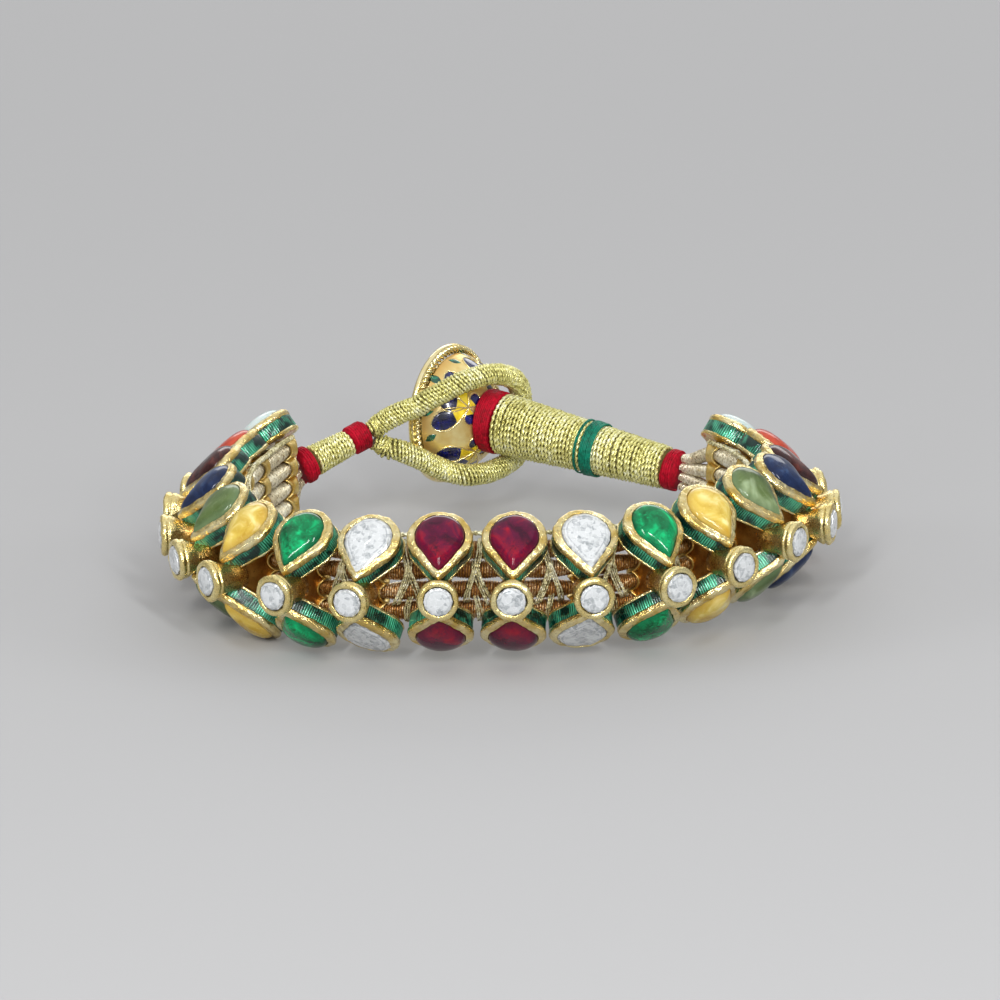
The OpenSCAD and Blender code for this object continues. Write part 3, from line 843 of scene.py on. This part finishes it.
def lay_threads(bm, material, runs, radius, lobes, sides, lay=0.9, closed=False, swell=None):
    """Skins runs of points as twisted thread. The lay is the length of one full twist."""
    cut = thread_cut(radius, lobes, sides)
    curve = bpy.data.curves.new("thread", "CURVE")
    curve.dimensions = "3D"
    curve.twist_mode = "MINIMUM"
    curve.bevel_mode = "OBJECT"
    curve.bevel_object = cut
    curve.use_fill_caps = True
    curve.resolution_u = 1
    for run in runs:
        run = np.asarray(run, float)
        spline = curve.splines.new("POLY")
        spline.points.add(len(run) - 1)
        spline.points.foreach_set("co", np.c_[run, np.ones(len(run))].ravel())
        if lobes > 1:
            gone = distances(run)
            turns = gone / lay
            if closed:
                turns = np.arange(len(run)) / len(run) * round(gone[-1] / lay)
            spline.points.foreach_set("tilt", turns * math.tau)
        if swell is not None:
            spline.points.foreach_set("radius", swell)
        spline.use_cyclic_u = closed
    holder = bpy.data.objects.new("thread", curve)
    bpy.context.collection.objects.link(holder)
    bpy.context.view_layer.update()
    ready = holder.evaluated_get(bpy.context.evaluated_depsgraph_get())
    mesh = bpy.data.meshes.new_from_object(ready)
    first = len(bm.faces)
    bm.from_mesh(mesh)
    bm.faces.ensure_lookup_table()
    for face in bm.faces[first:]:
        face.material_index = material
    bpy.data.meshes.remove(mesh)
    for spent in (holder, cut):
        data = spent.data
        bpy.data.objects.remove(spent)
        bpy.data.curves.remove(data)


def wander(count, seed, size, wave):
    """Slow uneven drift for a run of points."""
    return np.array([noise.noise(Vector((k / wave, seed * 3.7, 0.3))) for k in range(count)]) * size


def coil(place, start, end, radius_at, pitch, per_turn, uneven, seed):
    """Points of a winding round an axis, in the bracelet's frame."""
    turns = (end - start) / pitch
    count = int(turns * per_turn)
    t = np.arange(count + 1) / count
    angle = t * turns * math.tau
    along = start + (end - start) * t + wander(count + 1, seed, uneven, per_turn * 0.6)
    radius = np.array([radius_at(z) for z in along])
    radius = radius + wander(count + 1, seed + 5, uneven * 0.5, per_turn * 0.35)
    local = np.c_[radius * np.cos(angle), radius * np.sin(angle), along, np.ones(count + 1)]
    return (np.array(place) @ local.T).T[:, :3]


# The neck and the cone
BAND_GAP = 0.05
NECK_AT, NECK_TURN, NECK_RISE = (-20.6, 22.6, 0), 32, 16
NECK_BAND, NECK_LENGTH, FORK_BAND = 1.2, 4.9, 2.05
NECK_BACK_R, NECK_FORK_R = 1.7, 1.425
CONE_AT, CONE_TURN, CONE_RISE = (18.1, 21.3, -1.1), 151, 7.8
CONE_BAND, CONE_LENGTH, SEAT_BAND = 1.6, 19.1, 2.0
CONE_BACK_R, CONE_SEAT_R = 2.25, 3.25
# How far the gold winding of the cone runs back over its end band
CONE_OVER = 0.3
GREEN_AT = 7.25
NECK = on_axis(NECK_AT, NECK_TURN, NECK_RISE)
CONE = on_axis(CONE_AT, CONE_TURN, CONE_RISE)
neck_from = NECK_BAND + BAND_GAP
cone_from = CONE_BAND + BAND_GAP
seat_from = cone_from + CONE_LENGTH + BAND_GAP


def neck_radius(z):
    return NECK_BACK_R + (NECK_FORK_R - NECK_BACK_R) * (z - neck_from) / NECK_LENGTH


def cone_radius(z):
    return CONE_BACK_R + (CONE_SEAT_R - CONE_BACK_R) * (z - cone_from) / CONE_LENGTH


def wound_piece(name, place, start, end, radius_at, pitch, thread_r, per_turn, lay, materials,
                replaces, uneven, seed, sides=8, lobes=2):
    """A smooth core with one thread wound round it from end to end."""
    bm = bmesh.new()
    shrink, steps = thread_r * 0.4, 40
    rows = []
    for z, at in ((start, start + shrink), (end, end - shrink)):
        r = radius_at(z) - thread_r * 1.5
        rows.append([place @ polar(r, math.tau * k / steps, at) for k in range(steps)])
    loft(bm, rows, material=CORE)
    run = coil(place, start + thread_r, end - thread_r, lambda z: radius_at(z) - thread_r, pitch,
               per_turn, uneven, seed)
    lay_threads(bm, THREAD, [run], thread_r, lobes, sides, lay)
    finish_piece(name, bm, materials, replaces)


def silk_band(name, place, start, width, radius, replaces, seed):
    wound_piece(name, place, start, start + width, lambda z: radius, pitch=0.24, thread_r=0.14,
                per_turn=40, lay=1.0, materials=[crimson, crimson],
                replaces=replaces, uneven=0.06, seed=seed, sides=6, lobes=1)


wound_piece("neck_winding", NECK, neck_from, neck_from + NECK_LENGTH, neck_radius, pitch=0.37,
            thread_r=0.22, per_turn=64, lay=1.15, materials=[zari, zari_core],
            replaces=["neck_wrap"], uneven=0.07, seed=2.0)
wound_piece("cone_winding", CONE, cone_from - CONE_OVER, cone_from + CONE_LENGTH, cone_radius,
            pitch=0.39, thread_r=0.23, per_turn=108, lay=1.3, materials=[zari, zari_core],
            replaces=["cone_wrap"], uneven=0.11, seed=3.0)
silk_band("neck_band_silk", NECK, 0.0, NECK_BAND, radius=1.95, replaces=["neck_end_band"],
          seed=4.0)
silk_band("fork_band_silk", NECK, neck_from + NECK_LENGTH + BAND_GAP, FORK_BAND, radius=1.55,
          replaces=["neck_fork_band"], seed=5.0)
silk_band("cone_band_silk", CONE, 0.0, CONE_BAND - CONE_OVER, radius=2.15,
          replaces=["cone_end_band"], seed=6.0)

# The green band and the thin green line beside it
green_from = cone_from + GREEN_AT
bm = bmesh.new()
band = coil(CONE, green_from + 0.08, green_from + 1.42, lambda z: cone_radius(z) + 0.09,
            pitch=0.19, per_turn=48, uneven=0.05, seed=7.0)
lay_threads(bm, THREAD, [band], radius=0.13, lobes=1, sides=6)
line = coil(CONE, green_from + 1.84, green_from + 2.09, lambda z: cone_radius(z) + 0.07,
            pitch=0.125, per_turn=60, uneven=0.02, seed=8.0)
lay_threads(bm, THREAD, [line], radius=0.08, lobes=1, sides=6)
finish_piece("green_band_silk", bm, [green_silk], ["cone_green_band"])

# The button
BUTTON = on_axis((-4.75, 34.1, 2.1), -32, 0)
DOME_R, DOME_DROP, DOME_WALL = 6.7, 2.0, 0.7
ball = CONE.inverted() @ (BUTTON @ Vector((0, 0, -DOME_DROP)))


def seat_end(angle, radius):
    """How far along the cone its seat band ends, at the dome's skin or at its full width."""
    x, y = radius * math.cos(angle), radius * math.sin(angle)
    inside = (DOME_R + 0.1) ** 2 - (x - ball.x) ** 2 - (y - ball.y) ** 2
    return min(ball.z - math.sqrt(max(inside, 0.0)), seat_from + SEAT_BAND)


# The seat band: a core that ends at the dome's skin, and the silk round it
bm = bmesh.new()
steps = 64
rows = []
for r, share in ((2.95, 0.0), (3.2, 0.02), (3.2, 0.98), (2.2, 1.0)):
    row = []
    for k in range(steps):
        a = math.tau * k / steps
        row.append(CONE @ polar(r, a, seat_from + (seat_end(a, r) - seat_from) * share))
    rows.append(row)
loft(bm, rows)
band_r, silk_r, turns, per_turn, margin = 3.3, 0.15, 8, 48, 0.12
run = []
for k in range(turns * per_turn + 1):
    a = math.tau * k / per_turn
    room = seat_end(a, band_r) - margin - seat_from - margin
    r = band_r - silk_r + 0.02 * noise.noise(Vector((k / 20, 0, 1)))
    run.append(CONE @ polar(r, a, seat_from + margin + room * (k / (turns * per_turn))))
lay_threads(bm, THREAD, [run], silk_r, lobes=1, sides=6)
finish_piece("seat_band_silk", bm, [crimson], ["cone_seat_band"])


def dome_profile(radius, count):
    """Points of a dome's skin from its seam to its apex."""
    wide = math.acos(DOME_DROP / radius)
    turns = [wide * (1 - k / count) for k in range(count)]
    return [(radius * math.sin(t), radius * math.cos(t) - DOME_DROP) for t in turns] \
        + [(0, radius - DOME_DROP)]


# The dome: a hollow cap with its enamel
bm = bmesh.new()
lathe(bm, dome_profile(DOME_R, 24), 72)
lathe(bm, dome_profile(DOME_R - DOME_WALL, 16), 48)
seam = bm.verts.layers.float.new("seam")
for vert in bm.verts:
    vert[seam] = 1 - vert.co.z / (DOME_R - DOME_DROP)

# Petals: bearing from the flower's middle, reach, half width
PETALS = ((6, 28, 7.6), (47, 38, 9.4), (-47, 38, 9.4), (118, 16, 5.4), (-118, 16, 5.4))
# Leaves: degrees out from the flower's middle, degrees across, length
LEAVES = ((36, 16, 15.0), (35, -17, 15.0), (22, 38, 12.0))
FLOWERS = (-122, -32, 58, 148)
FLOWER_AT = 32.5
WIRE_OUT, PER_SIDE = 0.35, 28
# The materials of the dome that come after its gold
BLUE, YELLOW, LEAF, WIRE = range(1, 5)


def from_flower(phi, u, v, lift):
    """A point u degrees out from a flower's middle, away from the apex, and v across."""
    t, p = math.radians(FLOWER_AT), math.radians(phi)
    middle = Vector((math.sin(t) * math.cos(p), math.sin(t) * math.sin(p), math.cos(t)))
    outward = Vector((math.cos(t) * math.cos(p), math.cos(t) * math.sin(p), -math.sin(t)))
    across = middle.cross(outward)
    far = math.radians(math.hypot(u, v))
    way = (outward * u + across * v).normalized() if far else outward
    return (middle * math.cos(far) + way * math.sin(far)) * (DOME_R + lift) \
        - Vector((0, 0, DOME_DROP))


def by_flower(phi, u, v, bearing, along, across, lift):
    """A point along and across a bearing, counted from a point u out and v across."""
    return from_flower(phi, u + along * math.cos(bearing) - across * math.sin(bearing),
                       v + along * math.sin(bearing) + across * math.cos(bearing), lift)


def petal_half(share):
    """Half width of a petal, a share of the way along it."""
    return math.sin(math.pi * share ** 1.6) ** 0.7 if 0 < share < 1 else 0.0


def add_patch(bm, place_of, long_steps, wide_steps, pick):
    """A domed patch of enamel, laid out as a grid and moved onto the dome."""
    made = bmesh.ops.create_grid(bm, x_segments=long_steps, y_segments=wide_steps,
                                 size=1.0)["verts"]
    faces = {face for vert in made for face in vert.link_faces}
    for face in faces:
        face.material_index = pick((face.calc_center_median().x + 1) / 2)
    for vert in made:
        vert.co = place_of((vert.co.x + 1) / 2, vert.co.y)
    bmesh.ops.remove_doubles(bm, verts=made, dist=1e-4)
    faces = [face for face in faces if face.is_valid]
    bmesh.ops.recalc_face_normals(bm, faces=faces)
    out = sum((face.normal.dot(face.calc_center_median() + Vector((0, 0, DOME_DROP)))
               for face in faces))
    if out < 0:
        bmesh.ops.reverse_faces(bm, faces=faces)
    bmesh.ops.solidify(bm, geom=faces, thickness=0.12)


outlines = []
for phi in FLOWERS:
    for bearing, reach, half in PETALS:
        way = math.radians(bearing)

        def petal(along, across):
            share = 0.02 + 0.97 * along
            return by_flower(phi, 0, 0, way, share * reach, across * petal_half(share) * half,
                             0.05 * (1 - across * across) - 0.01)

        add_patch(bm, petal, long_steps=20, wide_steps=8,
                  pick=lambda share: YELLOW if share < 0.4 else BLUE)
        ring = []
        for k in range(2 * PER_SIDE):
            share = 0.01 + 0.98 * (k / PER_SIDE if k < PER_SIDE else 2 - k / PER_SIDE)
            edge = (1 if k < PER_SIDE else -1) * (petal_half(share) * half + WIRE_OUT)
            ring.append(BUTTON @ by_flower(phi, 0, 0, way, share * reach, edge, 0.03))
        outlines.append(ring)
    for u, v, size in LEAVES:
        way = math.atan2(v, u)

        def leaf(along, across):
            share = 0.02 + 0.96 * along
            wide = math.sin(math.pi * share) * size * 0.3
            return by_flower(phi, u, v, way, (share - 0.5) * size, across * wide,
                             0.04 * (1 - across * across) - 0.01)

        add_patch(bm, leaf, long_steps=10, wide_steps=6, pick=lambda share: LEAF)
bmesh.ops.transform(bm, matrix=BUTTON, verts=bm.verts)
lay_threads(bm, WIRE, outlines, radius=0.075, lobes=1, sides=6, closed=True)
finish_piece("enamelled_dome", bm,
             [dome_gold, blue_enamel, yellow_enamel, leaf_enamel, bright_gold],
             ["button_shell"])

# Rope edge, and the smooth plate edge outside it
ROPE_OUT, ROPE_UP, ROPE_STEPS = 6.72, -0.42, 480
bm = bmesh.new()
lathe(bm, ((6.3, -1.1), (6.6, -1.2), (7.05, -1.2), (7.2, -1.1), (7.25, -0.9), (7.2, -0.66),
           (7.05, -0.56), (6.8, -0.54), (6.4, -0.56), (6.2, -0.7), (6.18, -0.95)), 96,
      closed=True)
bmesh.ops.transform(bm, matrix=BUTTON, verts=bm.verts)
rope = []
for k in range(ROPE_STEPS):
    height = ROPE_UP + 0.02 * noise.noise(Vector((k / 20, 0, 4)))
    rope.append(BUTTON @ polar(ROPE_OUT, math.tau * k / ROPE_STEPS, height))
lay_threads(bm, THREAD, [rope], radius=0.46, lobes=2, sides=14, lay=1.2, closed=True)
finish_piece("rope_rim", bm, [bright_gold], ["button_rim"])

# The closing plate
bm = bmesh.new()
lathe(bm, ((0, -0.96), (5.3, -0.96), (5.7, -0.93), (5.9, -0.82), (6.02, -0.66), (6.02, -0.3),
           (5.9, -0.12), (5.6, -0.07), (0, -0.07)), 80)
bmesh.ops.transform(bm, matrix=BUTTON, verts=bm.verts)
finish_piece("closing_plate", bm, [gold], ["button_face"])


# The corded loop
def wind_along(route, pitch, per_turn, radius_at, uneven, seed, lean=0.0):
    """A winding round a bent route: radius_at takes the distance along it. With lean each
    turn slants, its top back along the route and its foot forward."""
    gone = distances(route)
    count = int(gone[-1] / pitch * per_turn)
    s = np.linspace(0, gone[-1], count + 1)
    centre = np.c_[[np.interp(s, gone, route[:, k]) for k in range(3)]].T
    along = np.gradient(centre, axis=0)
    window = per_turn // 2 * 2 + 1
    kernel = np.ones(window) / window
    padded = np.pad(along, ((window // 2, window // 2), (0, 0)), "edge")
    along = np.c_[[np.convolve(padded[:, k], kernel, "valid") for k in range(3)]].T
    along /= np.linalg.norm(along, axis=1)[:, None]
    side = np.cross(along[0], (0, 0, 1))
    side /= np.linalg.norm(side)
    sides = np.empty_like(along)
    for k, way in enumerate(along):
        side = side - way * side.dot(way)
        side /= np.linalg.norm(side)
        sides[k] = side
    ups = np.cross(sides, along)
    angle = s / pitch * math.tau
    radius = radius_at(s) + wander(count + 1, seed, uneven, per_turn * 0.4)
    # The turns stand straight at both ends of the route
    ends = np.clip(np.minimum(s, gone[-1] - s) / 3 - 0.2, 0, 1)
    shift = (wander(count + 1, seed + 3, uneven, per_turn * 0.7)
             - lean * ends * radius * np.sin(angle))
    return (centre + along * shift[:, None]
            + sides * (radius * np.cos(angle))[:, None] + ups * (radius * np.sin(angle))[:, None])


ARM_POINTS = ((-13.49, 26.4, 2.75), (-12.71, 26.7, 3.08), (-11.71, 26.8, 3.66),
              (-10.16, 26.9, 4.38), (-8.51, 27, 4.95), (-7, 27.2, 5.75), (-3.4, 28.3, 7.2),
              (-0.4, 30.4, 7.25), (1.75, 33.4, 5.5), (2.2, 35.5, 1.9))
LOWER_POINTS = ((1.75, 33.8, -1.95), (-0.6, 30.8, -3), (-3.4, 28.5, -2.9), (-5.9, 28.1, -2.2),
                (-8.72, 27.2, -0.54), (-10.6, 27, 0.36), (-11.65, 27.2, 0.5), (-12.4, 27.3, 1),
                (-13.1, 27.2, 1.3))
LOOP_R, LOOP_END_R, LOOP_TAPER = 1.175, 0.86, 1.3
route = through(ARM_POINTS + LOWER_POINTS, 12) + np.array(CENTRE)
loop_gone = distances(route)


def loop_radius(s):
    """The loop thins down where it runs into the fork band."""
    share = np.clip(np.minimum(s, loop_gone[-1] - s) / LOOP_TAPER, 0, 1)
    return LOOP_END_R + (LOOP_R - LOOP_END_R) * share ** 0.8


bm = bmesh.new()
lay_threads(bm, CORE, [route], radius=1.0, lobes=1, sides=14, swell=loop_radius(loop_gone) - 0.3)
wound = wind_along(route, pitch=0.345, per_turn=40, radius_at=lambda s: loop_radius(s) - 0.2,
                   uneven=0.06, seed=11.0, lean=0.5)
lay_threads(bm, THREAD, [wound], radius=0.205, lobes=2, sides=8, lay=1.0)
finish_piece("loop_winding", bm, [zari, zari_core], ["clasp_loop"])


# The four cords
CORD_R, BUNDLE_STEP, BUNDLE_R = 0.7, 1.0, 0.43
COLLAR_L, TAIL_GAP, TAIL_STEPS = 0.9, 0.25, 5
# How far each side of a collar's middle a cord stays tight, and how much it swells between two
TIGHT, SWELL = 0.4, 0.27


def direction(turn, rise):
    t, r = math.radians(turn), math.radians(rise)
    return np.array((math.cos(t) * math.cos(r), math.sin(t) * math.cos(r), math.sin(r)))


def cord_route(row):
    """Points of a cord: its tail to the neck, its way round the ring, its tail to the cone."""
    ring = []
    for k in range(2 * COUNT - 1):
        x, y, heading = stand(k * PITCH / 2 + halfway(k, 4))
        ring.append(np.array((x, y, row * CORD_STEP + halfway(k, 3))))
    start, end = stand(0)[2], stand((COUNT - 1) * PITCH)[2]
    neck_way, cone_way = direction(NECK_TURN, NECK_RISE), direction(CONE_TURN, CONE_RISE)
    left_out, right_out = -COLLAR_L * direction(start, 0), COLLAR_L * direction(end, 0)
    left_end = np.array(NECK_AT) - TAIL_GAP * neck_way \
        + row * BUNDLE_STEP * direction(NECK_TURN, NECK_RISE + 90)
    right_end = np.array(CONE_AT) - TAIL_GAP * cone_way \
        + row * BUNDLE_STEP * direction(CONE_TURN, CONE_RISE + 90)
    first, last = ring[0] + left_out / 2, ring[-1] + right_out / 2
    left = [reach_over(first, left_out, neck_way, left_end, 1 - k / TAIL_STEPS)
            for k in range(TAIL_STEPS)]
    right = [reach_over(last, right_out, 1.5 * cone_way, right_end, k / TAIL_STEPS)
             for k in range(1, TAIL_STEPS + 1)]
    return left, [first] + ring + [last], right


for n, row in enumerate(CORD_ROWS):
    left, ring, right = cord_route(row)
    smooth = through(left + ring + right, 5) + np.array(CENTRE)
    ring_from = distances(left + ring[:2])[-1]
    whole = distances(left + ring + right)[-1]
    ring_to = whole - distances(ring[-2:] + right)[-1]

    def cord_radius(s):
        """Thin at both ends, tight in the collars and full between them."""
        unit_share = (s - ring_from) / ((ring_to - ring_from) / (COUNT - 1))
        near = np.abs(unit_share - np.round(unit_share)) * PITCH
        free = np.clip((near - TIGHT) / (PITCH / 2 - TIGHT), 0, 1)
        full = CORD_R + SWELL * np.sin(free * np.pi / 2) ** 0.9
        ends = np.minimum(s - ring_from, ring_to - s)
        tail = np.minimum(s, whole - s) / np.maximum(ring_from - COLLAR_L / 2, 0.1)
        thin = BUNDLE_R + (CORD_R - BUNDLE_R) * np.clip(tail, 0, 1) ** 0.8
        return np.where(ends < -TIGHT, thin, np.where(ends < 0, CORD_R, full))

    bm = bmesh.new()
    lay_threads(bm, CORE, [smooth], radius=1.0, lobes=1, sides=10,
                swell=cord_radius(distances(smooth)) - 0.1)
    wound = wind_along(smooth, pitch=0.26, per_turn=11, radius_at=lambda s: cord_radius(s) - 0.09,
                       uneven=0.02, seed=20.0 + n)
    lay_threads(bm, THREAD, [wound], radius=0.11, lobes=1, sides=4)
    # Painted light: how far each vertex faces the wrist, where the cord is painted in its paler lit
    # tones.
    lit_inner_side = bm.verts.layers.float.new("lit_inner_side")
    for vert in bm.verts:
        place = np.array(vert.co)
        off = place - smooth[np.argmin(((smooth - place) ** 2).sum(axis=1))]
        to_wrist = np.array((CENTRE.x, CENTRE.y)) - place[:2]
        share = off[:2].dot(to_wrist) / np.linalg.norm(to_wrist) / CORD_R
        vert[lit_inner_side] = min(1.0, max(0.0, 0.5 + 0.5 * share))
    finish_piece("wound_cord_%d" % (n + 1), bm, [rose_wire, rose_core],
                 ["cord_%d" % (n + 1)])

# Threads between the settings
def between_units(k):
    """Place half way between two settings: X along the cords, Y inwards, Z up."""
    x, y, heading = stand((k + 0.5) * PITCH + halfway(2 * k + 1, 4))
    here = CENTRE + Vector((x, y, halfway(2 * k + 1, 3)))
    return Matrix.Translation(here) @ turn_about("Z", heading)


# Each bundle: strands, then points (along, inwards, up) from top to bottom
BUNDLES = (
    (3, ((0.35, 0.2, 4.15), (0.3, -0.75, 3.75), (0.25, -1.0, 3.0), (0.05, -1.02, 2.0),
         (-0.1, -1.05, 1.3), (-0.15, -0.8, 0.4), (-0.1, 0.1, 0.05))),
    (4, ((-0.15, 0.2, 2.0), (-0.2, -0.85, 1.85), (-0.1, -1.05, 1.2), (0.25, -1.03, 0.0),
         (0.75, -1.05, -1.2), (1.2, -0.95, -2.2), (1.35, 0.1, -2.3))),
    (3, ((0.0, 0.2, 2.1), (-0.1, -0.9, 1.9), (-0.35, -1.1, 1.1), (-0.75, -1.06, 0.0),
         (-1.05, -1.05, -1.0), (-1.2, -0.9, -1.9), (-1.2, 0.1, -2.2))),
    (3, ((-0.35, 0.1, -1.6), (-0.25, -0.9, -1.5), (-0.05, -1.05, -2.2), (0.1, -1.03, -3.0),
         (0.15, -0.85, -3.8), (0.2, 0.1, -4.1))),
)

STRAND_STEP, STRAND_DRIFT = 0.2, 0.11

lashings = []
for k in range(COUNT - 1):
    place = np.array(between_units(k))
    mirror = -1 if k % 2 else 1
    for b, (strands, points) in enumerate(BUNDLES):
        base = through(points, 6)
        base[:, 0] *= mirror
        for n in range(strands):
            slide = (n - (strands - 1) / 2) * STRAND_STEP
            offset = np.array([noise.noise_vector(Vector((j / 9, k * 1.7 + b, n * 2.3)))
                               for j in range(len(base))]) * STRAND_DRIFT
            run = base + offset
            run[:, 0] += slide * np.linspace(0.9, 1.25, len(run))
            run[:, 2] += slide * 0.25
            lashings.append((place @ np.c_[run, np.ones(len(run))].T).T[:, :3])
bm = bmesh.new()
lay_threads(bm, THREAD, lashings, radius=0.125, lobes=2, sides=6, lay=0.7)
finish_piece("lashings", bm, [silver_gilt])

# Braided thread that runs behind the upper pears
BRAID_OUT, BRAID_UP, BRAID_LAY = 0.9, 4.45, 1.5
BRAID_SWAY, BRAID_WAVE, BRAID_STEP = 0.17, 0.13, 0.16
braid = []
ring_length = (COUNT - 1) * PITCH
samples = int(ring_length / BRAID_STEP)
for n in range(3):
    run = []
    for j in range(samples + 1):
        s = j / samples * ring_length
        x, y, heading = stand(s)
        low = int(min(s / PITCH, COUNT - 2))
        share = s / PITCH - low
        lift = SETTINGS[low][3] * (1 - share) + SETTINGS[low + 1][3] * share
        a = math.tau * (s / BRAID_LAY + n / 3)
        out = BRAID_OUT + BRAID_SWAY * math.sin(a)
        h = math.radians(heading)
        run.append(CENTRE + Vector((x - out * math.sin(h), y + out * math.cos(h),
                                    BRAID_UP + lift + BRAID_WAVE * math.sin(2 * a))))
    braid.append(run)
bm = bmesh.new()
lay_threads(bm, THREAD, braid, radius=0.13, lobes=1, sides=6)
finish_piece("braided_thread", bm, [silver_gilt])


# Floor and light
def floor_finish():
    made, tree = start_material("paper floor")
    where = add(tree, "ShaderNodeTexCoord", {}).outputs["Object"]
    tone = blend(tree, noise_at(tree, where, 1.5, 1.0), (0.39, 0.39, 0.395), (0.41, 0.41, 0.415))
    feed(tree, tree.nodes["Principled BSDF"],
         {"Base Color": tone, "Roughness": 0.9, "Specular IOR Level": 0.1})
    return made


FLOOR_DROP = 0.06
bm = bmesh.new()
bmesh.ops.create_grid(bm, x_segments=2, y_segments=2, size=4.0)
bmesh.ops.translate(bm, verts=bm.verts, vec=(0, 0, -FLOOR_DROP * MM))
mesh = bpy.data.meshes.new("floor")
bm.to_mesh(mesh)
bm.free()
mesh.materials.append(floor_finish())
floor = bpy.data.objects.new("floor", mesh)
bpy.context.collection.objects.link(floor)


def softbox(name, at, size, power, glossy):
    """A rectangular lamp that faces the bracelet's middle."""
    lamp = bpy.data.lights.new(name, "AREA")
    lamp.shape = "RECTANGLE"
    lamp.size, lamp.size_y = size
    lamp.energy = power
    holder = bpy.data.objects.new(name, lamp)
    bpy.context.collection.objects.link(holder)
    way = (Vector(at) - Vector((0, 0, 0.008))).normalized()
    holder.matrix_world = Matrix.Translation(at) @ way.to_track_quat("Z", "Y").to_matrix().to_4x4()
    holder.visible_glossy = glossy


# Each lamp: place, size, power, and if it shows in polished faces
softbox("overhead softbox", (0.0, 0.05, 0.7), (1.6, 1.3), 3.0, True)
softbox("left strip", (-0.17, -0.62, 0.42), (0.05, 0.34), 2.4, True)
softbox("right strip", (0.2, -0.6, 0.38), (0.05, 0.34), 2.2, True)
softbox("front softbox", (0.0, -0.75, 0.22), (0.9, 0.22), 1.5, False)
softbox("left side softbox", (-0.6, -0.1, 0.25), (0.3, 0.3), 0.9, False)
softbox("right side softbox", (0.6, -0.1, 0.25), (0.3, 0.3), 0.9, False)
softbox("back softbox", (0.05, 0.6, 0.30), (0.6, 0.25), 1.2, True)

world = bpy.data.worlds.new("studio")
bpy.context.scene.world = world
world.use_nodes = True
feed(world.node_tree, world.node_tree.nodes["Background"], {0: (0.9, 0.9, 0.9), 1: 0.42})
bpy.context.scene.view_settings.view_transform = "Standard"
